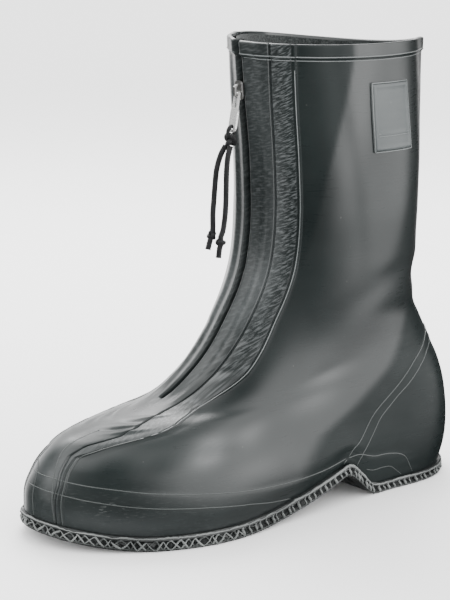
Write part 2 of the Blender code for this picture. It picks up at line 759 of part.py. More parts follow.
def block(size, centre, place, bevel=0.0):
    """A box in the slider's axes, with its corners along the third axis rounded."""
    made = bmesh.new()
    bmesh.ops.create_cube(made, size=1.0, matrix=Matrix.Diagonal((*size, 1)))
    if bevel:
        edges = [e for e in made.edges if abs((e.verts[0].co - e.verts[1].co).normalized().y) > 0.9]
        bmesh.ops.bevel(made, geom=edges, offset=bevel, segments=3, profile=0.5, affect="EDGES")
    bmesh.ops.translate(made, verts=made.verts, vec=centre)
    bmesh.ops.transform(made, verts=made.verts, matrix=place)
    return made


def extruded(outline, half_width, place):
    """A flat outline in the second and third axes, extruded across."""
    made = bmesh.new()
    low = [made.verts.new((-half_width, y, z)) for y, z in outline]
    high = [made.verts.new((half_width, y, z)) for y, z in outline]
    made.faces.new(low)
    made.faces.new(high[::-1])
    for k in range(len(outline)):
        j = (k + 1) % len(outline)
        made.faces.new((low[k], high[k], high[j], low[j]))
    bmesh.ops.recalc_face_normals(made, faces=made.faces)
    bmesh.ops.transform(made, verts=made.verts, matrix=place)
    return made


def cylinder(radius, length, along_x, centre, place, sides):
    made = bmesh.new()
    turn = Matrix.Rotation(math.pi / 2, 4, "Y" if along_x else "X")
    bmesh.ops.create_cone(
        made, cap_ends=True, segments=sides, radius1=radius, radius2=radius, depth=length, matrix=turn)
    bmesh.ops.translate(made, verts=made.verts, vec=centre)
    bmesh.ops.transform(made, verts=made.verts, matrix=place)
    return made


def joined(name, solids, cuts, finish):
    """The first solid with the others united to it and the cuts taken away."""
    def keep(mesh, label):
        data = bpy.data.meshes.new(label)
        bmesh.ops.recalc_face_normals(mesh, faces=mesh.faces)
        mesh.to_mesh(data)
        mesh.free()
        return data
    part = add_part(name, keep(solids[0], name), finish)
    tools = [(mesh, "UNION") for mesh in solids[1:]] + [(mesh, "DIFFERENCE") for mesh in cuts]
    for k, (mesh, operation) in enumerate(tools):
        tool = bpy.data.objects.new(f"{name} tool {k}", keep(mesh, f"{name} tool {k}"))
        tool.display_type = "WIRE"
        tool.hide_render = True
        CUTTERS.objects.link(tool)
        modifier = part.modifiers.new(f"{operation.lower()} {k}", "BOOLEAN")
        modifier.operation = operation
        modifier.solver = "EXACT"
        modifier.object = tool


def build_slider():
    """A plate behind the tapes, a neck through the slit, a plate in front and a bail for the pull."""
    axes, origin = slider_frame()
    place = Matrix.Translation(origin) @ axes
    front = FLAP_THICKNESS + 2 * CLEARANCE
    rear = -(WALL + TAPE_THICKNESS + 2 * CLEARANCE) - TIP_FALL
    top = front + SLIDER_PLATE
    front_size = (SLIDER_WIDTH * FRONT_PLATE_SHARE, SLIDER_PLATE, SLIDER_LENGTH)
    rear_size = (SLIDER_WIDTH, SLIDER_PLATE, SLIDER_LENGTH)
    plate = block(front_size, (0, front + SLIDER_PLATE / 2, 0), place, FRONT_PLATE_ROUNDING)
    back = block(rear_size, (0, rear - SLIDER_PLATE / 2, 0), place, REAR_PLATE_ROUNDING)
    reach = (rear - SLIDER_PLATE / 2, front + SLIDER_PLATE / 2)
    neck = block((NECK_WIDTH, reach[1] - reach[0], SLIDER_LENGTH * NECK_SHARE), (0, sum(reach) / 2, 0), place)
    half, bar = BAIL_LENGTH / 2, BAIL_BAR
    foot, crown = top - SLIDER_PLATE / 3, top + BAIL_HEIGHT
    outline = (
        (foot, half), (crown - bar, half - bar / 2), (crown, half - 1.3 * bar),
        (crown, -half + 1.3 * bar), (crown - bar, -half + bar / 2), (foot, -half),
        (foot, -half + bar), (crown - 1.2 * bar, -half + 1.6 * bar),
        (crown - 1.2 * bar, half - 1.6 * bar), (foot, half - bar),
    )
    bail = extruded(outline, BAIL_WIDTH / 2, place)
    joined("zip_slider", [plate, neck, back, bail], [], "nickel")


def hinge_point():
    """The pull's crossbar lies in the lower end of the bail."""
    axes, origin = slider_frame()
    top = FLAP_THICKNESS + 2 * CLEARANCE + SLIDER_PLATE
    out = top + (BAIL_HEIGHT - 1.2 * BAIL_BAR) / 2
    low = -BAIL_LENGTH / 2 + 1.6 * BAIL_BAR + 2 * CLEARANCE
    return origin + axes.to_3x3() @ Vector((0, out, low))


def build_pull():
    """A plate with a forked neck whose crossbar passes under the bail, and an eye for the cord."""
    out = Vector((0, -math.cos(PULL_LEAN), math.sin(PULL_LEAN)))
    up = Vector((0, math.sin(PULL_LEAN), math.cos(PULL_LEAN)))
    axes = Matrix((Vector((1, 0, 0)), out, up)).transposed().to_4x4()
    place = Matrix.Translation(hinge_point()) @ axes
    arm_in = BAIL_WIDTH / 2 + CLEARANCE
    arm = PULL_ARM
    bar = cylinder(CROSSBAR_RADIUS, 2 * (arm_in + arm * 0.8), True, (0, 0, 0), place, 12)
    plate_size = (PULL_WIDTH, PULL_THICKNESS, PULL_LENGTH - PULL_NECK)
    solids = [block(plate_size, (0, 0, -(PULL_LENGTH + PULL_NECK) / 2), place, PULL_ROUNDING)]
    for side in (1, -1):
        long = PULL_NECK + PULL_ARM_OVERLAP
        centre = (side * (arm_in + arm / 2), 0, -long / 2 + PULL_ARM_RISE)
        solids.append(block((arm, PULL_THICKNESS * 0.9, long), centre, place))
    solids.append(bar)
    hole = cylinder(PULL_EYE / 2, PULL_THICKNESS * 3, False, (0, 0, PULL_EYE * 0.9 - PULL_LENGTH), place, 16)
    joined("zip_pull", solids, [hole], "nickel")


def build_cords():
    """A knot at the eye and two tails, each with a knot near its end."""
    hinge = hinge_point()
    made = bmesh.new()
    size = KNOT_DIAMETER / 2
    squash = Matrix.Diagonal((1, 0.9, 1.02, 1))
    bmesh.ops.create_uvsphere(made, u_segments=12, v_segments=8, radius=size, matrix=squash)
    bmesh.ops.translate(made, verts=made.verts, vec=hinge + Vector(KNOT_PLACE))
    data = bpy.data.meshes.new("pull_knot")
    made.to_mesh(data)
    made.free()
    add_part("pull_knot", data, "nylon")
    for name, path in (("cord_tail_inner", TAIL_INNER), ("cord_tail_outer", TAIL_OUTER)):
        curve = bpy.data.curves.new(name, "CURVE")
        curve.dimensions = "3D"
        curve.bevel_depth = CORD_DIAMETER / 2
        curve.bevel_resolution = 2
        curve.use_fill_caps = True
        spline = curve.splines.new("POLY")
        spline.points.add(len(path) - 1)
        for point, (x, y, z, swell) in zip(spline.points, path):
            point.co = (*(hinge + Vector((x, y, z))), 1)
            point.radius = swell
        holder = bpy.data.objects.new(name + " path", curve)
        bpy.context.scene.collection.objects.link(holder)
        bpy.context.view_layer.update()
        tube = bpy.data.meshes.new_from_object(holder.evaluated_get(bpy.context.evaluated_depsgraph_get()))
        bpy.data.objects.remove(holder, do_unlink=True)
        tidy = bmesh.new()
        tidy.from_mesh(tube)
        bmesh.ops.remove_doubles(tidy, verts=tidy.verts, dist=1e-6)
        bmesh.ops.recalc_face_normals(tidy, faces=tidy.faces)
        tidy.to_mesh(tube)
        tidy.free()
        add_part(name, tube, "nylon")


LAST_RING = len(RINGS) - 1
ROWS = WALL_ROWS + (LAST_RING,)
clear_scene()
PARTS = make_collection("rubber overshoe")
CUTTERS = make_collection("rubber overshoe tools", hidden=True)
build_upper()
build_outsole()
build_insole()
build_plackets()
build_toe_strip()
build_foxing_and_counter()
build_collar_binding()
build_label()
build_tapes_and_chain()
build_slider()
build_pull()
build_cords()
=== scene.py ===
import json
import math
import bmesh
import bpy
import numpy as np
from mathutils import Matrix, Vector, noise


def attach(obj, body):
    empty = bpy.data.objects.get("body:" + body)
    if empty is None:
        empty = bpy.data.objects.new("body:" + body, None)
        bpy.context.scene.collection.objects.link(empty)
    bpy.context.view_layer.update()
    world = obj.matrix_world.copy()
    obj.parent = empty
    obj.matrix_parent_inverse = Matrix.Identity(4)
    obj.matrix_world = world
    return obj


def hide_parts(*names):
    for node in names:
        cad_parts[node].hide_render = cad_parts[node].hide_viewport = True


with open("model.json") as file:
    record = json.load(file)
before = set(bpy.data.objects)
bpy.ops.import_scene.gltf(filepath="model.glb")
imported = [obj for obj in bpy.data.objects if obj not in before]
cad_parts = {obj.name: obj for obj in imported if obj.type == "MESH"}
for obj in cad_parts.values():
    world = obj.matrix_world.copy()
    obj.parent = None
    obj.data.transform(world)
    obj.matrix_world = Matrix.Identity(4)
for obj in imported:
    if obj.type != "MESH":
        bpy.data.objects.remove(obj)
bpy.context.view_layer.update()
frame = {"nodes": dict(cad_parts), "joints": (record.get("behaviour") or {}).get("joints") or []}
print("frame loaded")

mm = 0.001

# camera, as the photo was taken

camera = {
    "azimuth": 48.3,
    "turnedIn": 1.66,
    "tilt": 12.6,
    "roll": 1.33,
    "distance": 1.15,
    "height": 0.374,
    "aim": (0.0, -0.08),
    "lens": 118.0,
}


def makeCamera():
    a = math.radians(camera["azimuth"])
    head = a + math.radians(camera["turnedIn"])
    tilt = math.radians(camera["tilt"])
    roll = math.radians(camera["roll"])
    aim, far = camera["aim"], camera["distance"]
    place = Vector((aim[0] + far * math.sin(a), aim[1] - far * math.cos(a), camera["height"]))
    ahead = Vector((-math.sin(head) * math.cos(tilt), math.cos(head) * math.cos(tilt), -math.sin(tilt)))
    side = Vector((math.cos(head), math.sin(head), 0))
    up = side.cross(ahead)
    right = side * math.cos(roll) + up * math.sin(roll)
    up = up * math.cos(roll) - side * math.sin(roll)
    data = bpy.data.cameras.new("photoCamera")
    data.lens = camera["lens"]
    data.sensor_width = 36
    data.clip_start, data.clip_end = 0.05, 20
    obj = bpy.data.objects.new("photoCamera", data)
    bpy.context.scene.collection.objects.link(obj)
    obj.matrix_world = Matrix.Translation(place) @ Matrix((right, up, -ahead)).transposed().to_4x4()
    bpy.context.scene.camera = obj


makeCamera()

# helpers


def linkMesh(name, data, material=None):
    obj = bpy.data.objects.new(name, data)
    bpy.context.scene.collection.objects.link(obj)
    if material:
        data.materials.clear()
        data.materials.append(material)
    return obj


def meshFrom(name, verts, faces, material):
    data = bpy.data.meshes.new(name)
    data.from_pydata([tuple(v) for v in verts], [], faces)
    data.update()
    data.polygons.foreach_set("use_smooth", [True] * len(data.polygons))
    return linkMesh(name, data, material)


def flatten(obj):
    # the finished mesh takes the place of the modifiers
    view = bpy.context.evaluated_depsgraph_get()
    data = bpy.data.meshes.new_from_object(obj.evaluated_get(view))
    obj.modifiers.clear()
    obj.data = data


def ease(x, low, high):
    t = np.clip((np.asarray(x, float) - low) / (high - low), 0, 1)
    return t * t * (3 - 2 * t)


def eased(x, knots):
    # smooth steps through (place, value) knots
    x = np.asarray(x, float)
    out = np.full(x.shape, float(knots[0][1]))
    for (a, va), (b, vb) in zip(knots[:-1], knots[1:]):
        out = out + (vb - va) * ease(x, a, max(b, a + 1e-6))
    return out


def tube(name, points, radius, material, rings=6, caps=True):
    pts = np.asarray(points, float)
    radii = np.broadcast_to(np.asarray(radius, float), (len(pts),))
    ahead = np.gradient(pts, axis=0)
    ahead /= np.linalg.norm(ahead, axis=1, keepdims=True)
    ref = np.array([0, 0, 1.0]) if abs(ahead[0][2]) < 0.8 else np.array([1.0, 0, 0])
    verts, faces = [], []
    u = np.cross(ahead[0], ref)
    for p, t, r in zip(pts, ahead, radii):
        u = u - t * np.dot(u, t)
        u /= np.linalg.norm(u)
        v = np.cross(t, u)
        for k in range(rings):
            a = 2 * math.pi * k / rings
            verts.append(p + r * (u * math.cos(a) + v * math.sin(a)))
    for i in range(len(pts) - 1):
        for k in range(rings):
            j = (k + 1) % rings
            faces.append((i * rings + k, i * rings + j, (i + 1) * rings + j, (i + 1) * rings + k))
    if caps:
        faces.append(tuple(range(rings))[::-1])
        faces.append(tuple((len(pts) - 1) * rings + k for k in range(rings)))
    return meshFrom(name, verts, faces, material)


def joinMeshes(name, objs):
    made = bmesh.new()
    for obj in objs:
        made.from_mesh(obj.data)
    data = bpy.data.meshes.new(name)
    made.to_mesh(data)
    made.free()
    for m in objs[0].data.materials:
        data.materials.append(m)
    for obj in objs:
        bpy.data.objects.remove(obj, do_unlink=True)
    obj = linkMesh(name, data)
    data.polygons.foreach_set("use_smooth", [True] * len(data.polygons))
    return obj


def repeatAlong(name, points, item, spacing, material, axis, pivot):
    # copies of item at even steps along a path, their axis along it
    verts = [tuple(p) for p in points]
    data = bpy.data.meshes.new(name)
    data.from_pydata(verts, [(i, i + 1) for i in range(len(verts) - 1)], [])
    obj = linkMesh(name, data)
    tree = bpy.data.node_groups.new(name + "Nodes", "GeometryNodeTree")
    tree.interface.new_socket("Geometry", in_out="INPUT", socket_type="NodeSocketGeometry")
    step = tree.interface.new_socket("Spacing", in_out="INPUT", socket_type="NodeSocketFloat")
    tree.interface.new_socket("Geometry", in_out="OUTPUT", socket_type="NodeSocketGeometry")
    start, end = tree.nodes.new("NodeGroupInput"), tree.nodes.new("NodeGroupOutput")
    toCurve = tree.nodes.new("GeometryNodeMeshToCurve")
    resample = tree.nodes.new("GeometryNodeResampleCurve")
    resample.mode = "LENGTH"
    toPoints = tree.nodes.new("GeometryNodeInstanceOnPoints")
    tangent = tree.nodes.new("GeometryNodeInputTangent")
    align = tree.nodes.new("FunctionNodeAlignRotationToVector")
    align.axis, align.pivot_axis = axis, pivot
    shape = tree.nodes.new("GeometryNodeObjectInfo")
    shape.inputs["Object"].default_value = item
    shape.inputs["As Instance"].default_value = True
    real = tree.nodes.new("GeometryNodeRealizeInstances")
    paint = tree.nodes.new("GeometryNodeSetMaterial")
    paint.inputs["Material"].default_value = material
    link = tree.links.new
    link(start.outputs["Geometry"], toCurve.inputs[0])
    link(toCurve.outputs[0], resample.inputs["Curve"])
    link(start.outputs["Spacing"], resample.inputs["Length"])
    link(resample.outputs[0], toPoints.inputs["Points"])
    link(shape.outputs["Geometry"], toPoints.inputs["Instance"])
    link(tangent.outputs[0], align.inputs["Vector"])
    link(align.outputs[0], toPoints.inputs["Rotation"])
    link(toPoints.outputs[0], real.inputs[0])
    link(real.outputs[0], paint.inputs["Geometry"])
    link(paint.outputs[0], end.inputs[0])
    modifier = obj.modifiers.new("repeat", "NODES")
    modifier.node_group = tree
    modifier[step.identifier] = spacing
    flatten(obj)
    return obj


# surfaces


def addNode(tree, kind, values=None, **settings):
    node = tree.nodes.new(kind)
    for key, value in settings.items():
        setattr(node, key, value)
    for key, value in (values or {}).items():
        node.inputs[key].default_value = value
    return node


def newGroup(name, inputs, outputs):
    tree = bpy.data.node_groups.new(name, "ShaderNodeTree")
    for label, kind, value in inputs:
        tree.interface.new_socket(label, in_out="INPUT", socket_type=kind).default_value = value
    for label, kind in outputs:
        tree.interface.new_socket(label, in_out="OUTPUT", socket_type=kind)
    return tree, tree.nodes.new("NodeGroupInput"), tree.nodes.new("NodeGroupOutput")


floatIn, colourIn = "NodeSocketFloat", "NodeSocketColor"


def stretchedNoise(tree, stretch, scale, detail=4.0, turn=(0, 0, 0), uvName=None):
    # noise pulled out along some axes, from the piece's own coordinates
    if uvName:
        where = addNode(tree, "ShaderNodeUVMap", uv_map=uvName).outputs[0]
    else:
        where = addNode(tree, "ShaderNodeTexCoord").outputs["Object"]
    turned = addNode(tree, "ShaderNodeMapping", {"Rotation": turn, "Scale": stretch})
    pattern = addNode(tree, "ShaderNodeTexNoise", {"Scale": scale, "Detail": detail, "Roughness": 0.55})
    tree.links.new(where, turned.inputs["Vector"])
    tree.links.new(turned.outputs[0], pattern.inputs["Vector"])
    return pattern.outputs[0]


def mathNode(tree, operation, a, b=None, clamp=False):
    node = addNode(tree, "ShaderNodeMath", operation=operation, use_clamp=clamp)
    for k, value in enumerate((a, b)):
        if value is None:
            continue
        if isinstance(value, (int, float)):
            node.inputs[k].default_value = value
        else:
            tree.links.new(value, node.inputs[k])
    return node.outputs[0]


def times(tree, a, b):
    return mathNode(tree, "MULTIPLY", a, b)


def plus(tree, a, b):
    return mathNode(tree, "ADD", a, b)


def rangeNode(tree, value, low, high, outLow=0.0, outHigh=1.0):
    ends = {"From Min": low, "From Max": high, "To Min": outLow, "To Max": outHigh}
    node = addNode(tree, "ShaderNodeMapRange", ends)
    tree.links.new(value, node.inputs["Value"])
    return node.outputs[0]


def mixColour(tree, share, a, b):
    node = addNode(tree, "ShaderNodeMix", data_type="RGBA")
    for socket, value in ((node.inputs[0], share), (node.inputs[6], a), (node.inputs[7], b)):
        if hasattr(value, "is_linked"):
            tree.links.new(value, socket)
        else:
            socket.default_value = value
    return node.outputs[2]


# what all the rubbers share: noise scales per metre, shares and heights
rubberPattern = {
    "bloomScale": 14,
    "bloomShare": 0.55,
    "streakScale": 60,
    "streakHeight": 0.03,
    "fineScale": 900,
    "fineHeight": 0.22,
    "speckScale": 420,
    "cloudScale": 38,
    "dust": (0.30, 0.30, 0.28, 1),
}


def makeRubberGroup():
    # moulded black rubber: brushed streaks, bloom, specks and a fine skin
    tree, start, end = newGroup(
        "rubberSkin",
        [("Dark", colourIn, (0.02, 0.024, 0.024, 1)), ("Bloom", colourIn, (0.06, 0.068, 0.066, 1)),
         ("Gloss", floatIn, 0.36), ("Streaks", floatIn, 1.0), ("Dust", floatIn, 0.3)],
        [("Colour", colourIn), ("Roughness", floatIn), ("Height", floatIn)],
    )
    asked = start.outputs
    broad = stretchedNoise(tree, (1, 1, 1), rubberPattern["bloomScale"], 3)
    streak = stretchedNoise(tree, (1, 1, 9), rubberPattern["streakScale"], 5)
    fine = stretchedNoise(tree, (1, 1, 1), rubberPattern["fineScale"], 2)
    speck = stretchedNoise(tree, (1, 1, 1), rubberPattern["speckScale"], 1)
    cloud = stretchedNoise(tree, (1, 1, 1), rubberPattern["cloudScale"], 6)
    bloom = times(tree, rangeNode(tree, broad, 0.38, 0.72), rubberPattern["bloomShare"])
    colour = mixColour(tree, bloom, asked["Dark"], asked["Bloom"])
    dots = times(tree, rangeNode(tree, speck, 0.75, 0.82), rangeNode(tree, cloud, 0.45, 0.7))
    colour = mixColour(tree, times(tree, dots, asked["Dust"]), colour, rubberPattern["dust"])
    rough = times(tree, rangeNode(tree, streak, 0.3, 0.7, -0.05, 0.06), asked["Streaks"])
    rough = plus(tree, rough, asked["Gloss"])
    rough = plus(tree, rough, rangeNode(tree, cloud, 0.35, 0.75, -0.03, 0.09))
    fineBump = times(tree, fine, rubberPattern["fineHeight"])
    streakBump = times(tree, streak, rubberPattern["streakHeight"])
    tree.links.new(colour, end.inputs["Colour"])
    tree.links.new(rough, end.inputs["Roughness"])
    tree.links.new(plus(tree, fineBump, streakBump), end.inputs["Height"])
    return tree


rubberGroup = makeRubberGroup()


def newMaterial(name, values):
    material = bpy.data.materials.new(name)
    material.use_nodes = True
    shader = material.node_tree.nodes["Principled BSDF"]
    for key, value in values.items():
        shader.inputs[key].default_value = value
    return material, material.node_tree, shader


def bumpFrom(tree, shader, height, strength, distance=0.0004):
    bump = addNode(tree, "ShaderNodeBump", {"Strength": strength, "Distance": distance})
    tree.links.new(height, bump.inputs["Height"])
    tree.links.new(bump.outputs[0], shader.inputs["Normal"])


# the strips' grain with painted highlight on its crests, the boot's scuffs, and patches of painted sheen
grainLook = {
    "wrinkleScale": 290,
    "wrinkleLean": -32,
    "pebbleScale": 480,
    "pebbleLean": -26,
    "depth": 3.0,
    "roughen": 0.07,
    "crestHighlight": 0.55,
    "crestHighlightColour": (0.105, 0.113, 0.115, 1),
    "marks": 0.12,
    "markColour": (0.16, 0.17, 0.165, 1),
    "paintedSheenColour": (0.055, 0.061, 0.062, 1),
}
# the film that mirrors more where the rubber is polished
filmLook = {"specular": 0.12, "ior": 1.8, "roughness": 0.30, "from": 0.24, "gain": 0.52}


def readAttribute(tree, name):
    return addNode(tree, "ShaderNodeAttribute", attribute_name=name).outputs["Fac"]


def addGrain(tree, shader, colour, rough, height):
    mask = readAttribute(tree, "grain")
    wrinkleTurn = (0, 0, math.radians(grainLook["wrinkleLean"]))
    pebbleTurn = (0, 0, math.radians(grainLook["pebbleLean"]))
    wrinkle = stretchedNoise(tree, (0.9, 3.4, 1), grainLook["wrinkleScale"], 3, wrinkleTurn, "wall")
    pebble = stretchedNoise(tree, (1, 1.8, 1), grainLook["pebbleScale"], 2, pebbleTurn, "wall")
    worn = times(tree, plus(tree, times(tree, wrinkle, 1.6), pebble), grainLook["depth"])
    height = plus(tree, height, times(tree, worn, mask))
    rough = plus(tree, rough, times(tree, mask, grainLook["roughen"]))
    scratch = stretchedNoise(tree, (2, 2, 14), 120, 2, (0.5, 0.9, 0.2))
    marks = times(tree, rangeNode(tree, scratch, 0.60, 0.68), readAttribute(tree, "scuff"))
    colour = mixColour(tree, times(tree, marks, grainLook["marks"]), colour, grainLook["markColour"])
    # painted sheen: the colour is lightened in the listed patches, standing in for highlights
    colour = mixColour(tree, readAttribute(tree, "paintedSheen"), colour, grainLook["paintedSheenColour"])
    # painted highlight: the wrinkles' crests are coloured lighter, as if light caught the raised grain
    crestHighlight = times(tree, rangeNode(tree, wrinkle, 0.46, 0.66), mask)
    colour = mixColour(tree, times(tree, crestHighlight, grainLook["crestHighlight"]), colour, grainLook["crestHighlightColour"])
    shader.inputs["Specular IOR Level"].default_value = filmLook["specular"]
    shader.inputs["Coat IOR"].default_value = filmLook["ior"]
    shader.inputs["Coat Roughness"].default_value = filmLook["roughness"]
    film = mathNode(tree, "SUBTRACT", readAttribute(tree, "mirror"), filmLook["from"])
    film = mathNode(tree, "MULTIPLY", film, filmLook["gain"], clamp=True)
    tree.links.new(film, shader.inputs["Coat Weight"])
    return colour, rough, height


def makeRubber(name, dark, bloom, gloss, streaks, dust, bump, grain=False):
    material, tree, shader = newMaterial(name, {"IOR": 1.52, "Specular IOR Level": 0.5})
    group = addNode(tree, "ShaderNodeGroup", node_tree=rubberGroup)
    asked = (("Dark", dark), ("Bloom", bloom), ("Gloss", gloss), ("Streaks", streaks), ("Dust", dust))
    for key, value in asked:
        group.inputs[key].default_value = value
    colour, rough, height = [group.outputs[key] for key in ("Colour", "Roughness", "Height")]
    if grain:
        colour, rough, height = addGrain(tree, shader, colour, rough, height)
    tree.links.new(colour, shader.inputs["Base Color"])
    tree.links.new(rough, shader.inputs["Roughness"])
    bumpFrom(tree, shader, height, bump)
    return material


def makeSoleRubber(name, look, worn):
    # black in the wells, dusty on the ribs that touch the ground
    material = makeRubber(name, *look)
    tree = material.node_tree
    shader = tree.nodes["Principled BSDF"]
    plain = shader.inputs["Base Color"].links[0].from_socket
    facing = addNode(tree, "ShaderNodeSeparateXYZ")
    tree.links.new(addNode(tree, "ShaderNodeTexCoord").outputs["Normal"], facing.inputs[0])
    rib = rangeNode(tree, facing.outputs["Z"], -0.80, -0.90)
    patch = rangeNode(tree, stretchedNoise(tree, (1, 1, 1), 45, 5), 0.3, 0.6, 0.55, 1.0)
    dusty = mixColour(tree, times(tree, rib, patch), plain, worn)
    tree.links.new(dusty, shader.inputs["Base Color"])
    return material


# dark, bloom, gloss, streaks, dust, bump
rubberLook = {
    "boot": ((0.0058, 0.0085, 0.0085, 1), (0.015, 0.0195, 0.019, 1), 0.30, 1.0, 0.16, 0.22),
    # line: a lighter copy of the boot rubber for the raised seam lines, a painted highlight
    "line": ((0.030, 0.035, 0.034, 1), (0.066, 0.073, 0.071, 1), 0.34, 0.3, 0.2, 0.2),
    # edge: a much lighter copy of the boot rubber, a painted highlight on the collar lines, label moulding
    # and upper bead line
    "edge": ((0.080, 0.088, 0.088, 1), (0.21, 0.22, 0.22, 1), 0.34, 0.3, 0.2, 0.2),
    "sole": ((0.008, 0.010, 0.010, 1), (0.028, 0.032, 0.031, 1), 0.48, 0.4, 0.8, 0.4),
    # flash and dimLitFlash: lighter copies of the sole rubber for its welt and ribs, scuffs and painted
    # highlight, the second dimmer
    "flash": ((0.085, 0.092, 0.090, 1), (0.24, 0.25, 0.245, 1), 0.50, 0.2, 0.6, 0.5),
    "dimLitFlash": ((0.028, 0.032, 0.031, 1), (0.085, 0.09, 0.088, 1), 0.5, 0.2, 0.6, 0.4),
    "label": ((0.040, 0.047, 0.048, 1), (0.085, 0.093, 0.093, 1), 0.40, 0.6, 0.5, 0.35),
}
soleDust = (0.16, 0.165, 0.16, 1)
bootRubber = makeRubber("bootRubber", *rubberLook["boot"], grain=True)
litSeamRubber = makeRubber("litSeamRubber", *rubberLook["line"])
highlightRubber = makeRubber("highlightRubber", *rubberLook["edge"])
soleRubber = makeSoleRubber("soleRubber", rubberLook["sole"], soleDust)
litFlashRubber = makeRubber("litFlashRubber", *rubberLook["flash"])
dimLitFlash = makeRubber("dimLitFlash", *rubberLook["dimLitFlash"])
labelRubber = makeRubber("labelRubber", *rubberLook["label"])


def makeCloth(name, dark, light, scale, rough, bump, sheen):
    # woven or flocked cloth in two tones
    fixed = {"Sheen Weight": sheen, "Specular IOR Level": 0.25, "Roughness": rough}
    material, tree, shader = newMaterial(name, fixed)
    nap = stretchedNoise(tree, (1, 1, 1), scale, 4)
    cloud = stretchedNoise(tree, (1, 1, 1), scale * 0.12, 4)
    mixed = plus(tree, times(tree, nap, 0.7), times(tree, cloud, 0.3))
    colour = mixColour(tree, rangeNode(tree, mixed, 0.4, 0.62), dark, light)
    tree.links.new(colour, shader.inputs["Base Color"])
    bumpFrom(tree, shader, nap, bump, 0.0005)
    return material


# dark, light, noise scale, roughness, bump, sheen
clothLook = {
    "lining": ((0.013, 0.016, 0.016, 1), (0.062, 0.070, 0.069, 1), 900, 0.95, 0.8, 0.2),
    "insole": ((0.03, 0.033, 0.03, 1), (0.12, 0.125, 0.11, 1), 700, 0.95, 0.7, 0.2),
    "tape": ((0.010, 0.010, 0.011, 1), (0.035, 0.036, 0.038, 1), 1400, 0.85, 0.6, 0.2),
    "cord": ((0.0035, 0.0035, 0.004, 1), (0.013, 0.0135, 0.015, 1), 2200, 0.50, 0.4, 0.04),
}
liningCloth = makeCloth("liningCloth", *clothLook["lining"])
insoleCloth = makeCloth("insoleCloth", *clothLook["insole"])
tapeCloth = makeCloth("tapeCloth", *clothLook["tape"])
cordCloth = makeCloth("cordCloth", *clothLook["cord"])


def makeMetal(name, bright, dull, rough, shine):
    # plated metal with hairline scratches and handled dull patches
    material, tree, shader = newMaterial(name, {"Metallic": shine})
    patches = stretchedNoise(tree, (1, 1, 1), 160, 5)
    hair = stretchedNoise(tree, (1, 1, 12), 500, 3, (0.2, 0.3, 0))
    colour = mixColour(tree, rangeNode(tree, patches, 0.35, 0.7), bright, dull)
    tree.links.new(colour, shader.inputs["Base Color"])
    uneven = plus(tree, rangeNode(tree, hair, 0.3, 0.7, -0.06, 0.10), rough)
    uneven = plus(tree, uneven, rangeNode(tree, patches, 0.4, 0.7, 0, 0.08))
    tree.links.new(uneven, shader.inputs["Roughness"])
    bumpFrom(tree, shader, hair, 0.12, 0.0002)
    return material


# bright, dull, roughness, metallic
metalLook = {
    "pull": ((0.86, 0.86, 0.85, 1), (0.70, 0.70, 0.69, 1), 0.24, 0.78),
    "slider": ((0.55, 0.55, 0.54, 1), (0.34, 0.34, 0.33, 1), 0.30, 1.0),
    "tooth": ((0.20, 0.18, 0.13, 1), (0.10, 0.09, 0.07, 1), 0.38, 1.0),
}
pullMetal = makeMetal("pullMetal", *metalLook["pull"])
sliderMetal = makeMetal("sliderMetal", *metalLook["slider"])
toothMetal = makeMetal("toothMetal", *metalLook["tooth"])
print("materials made")

# the boot's shape, ring by ring from the sole to the collar
# lengths in metres, and places along the foot in shares of its length

boot = {
    "length": 0.305,
    "ball": 0.118,
    "height": 0.275,
    "ankle": 0.150,
    "wall": 0.0022,
    "soleEdge": 0.0082,
    "heelEdge": 0.0062,
    "soleGap": 0.0003,
    "rimGap": 0.0012,
    "toeSpring": 0.008,
    "springEnds": (0.66, 0.84),
    "archRise": 0.017,
    "archFront": 0.52,
    "heelFront": (0.118, 0.215),
    "slit": 0.0034,
    "placket": 0.0325,
    "zipEnd": 7.0,
    "bandRing": 15.80,
    "flap": 0.0016,
    "flapDrawn": 0.0016,
}
# how the rim leans: front and side, inner and outer half
rimLean = {"innerFront": 0.0052, "innerSide": -0.0004, "outerFront": -0.0026, "outerSide": 0.0006}
# front, its rise, back, its rise, then half widths at toe, ball, waist, seat and heel
rings = (
    (0.830, 0.000, 0.144, 0.000, 0.284, 0.466, 0.403, 0.347, 0.290),
    (0.830, 0.097, 0.153, 0.097, 0.290, 0.480, 0.415, 0.362, 0.308),
    (0.822, 0.178, 0.156, 0.181, 0.282, 0.475, 0.412, 0.368, 0.312),
    (0.806, 0.258, 0.155, 0.273, 0.258, 0.438, 0.392, 0.364, 0.303),
    (0.770, 0.328, 0.151, 0.365, 0.196, 0.350, 0.369, 0.356, 0.280),
    (0.705, 0.368, 0.141, 0.450, 0.142, 0.314, 0.352, 0.343, 0.246),
    (0.626, 0.396, 0.126, 0.520, 0.136, 0.304, 0.341, 0.331, 0.214),
    (0.552, 0.443, 0.109, 0.591, 0.148, 0.300, 0.334, 0.318, 0.196),
    (0.496, 0.516, 0.092, 0.654, 0.160, 0.299, 0.335, 0.309, 0.186),
    (0.449, 0.608, 0.075, 0.725, 0.168, 0.301, 0.343, 0.305, 0.179),
    (0.408, 0.730, 0.067, 0.802, 0.174, 0.309, 0.356, 0.307, 0.176),
    (0.373, 0.862, 0.064, 0.901, 0.182, 0.321, 0.372, 0.316, 0.175),
    (0.353, 1.000, 0.064, 1.000, 0.189, 0.332, 0.386, 0.328, 0.175),
    (0.347, 1.205, 0.066, 1.205, 0.193, 0.340, 0.395, 0.336, 0.171),
    (0.355, 1.450, 0.072, 1.450, 0.190, 0.338, 0.394, 0.328, 0.158),
    (0.370, 1.720, 0.080, 1.695, 0.174, 0.322, 0.380, 0.303, 0.131),
    (0.384, 2.000, 0.088, 1.965, 0.150, 0.290, 0.352, 0.262, 0.096),
)
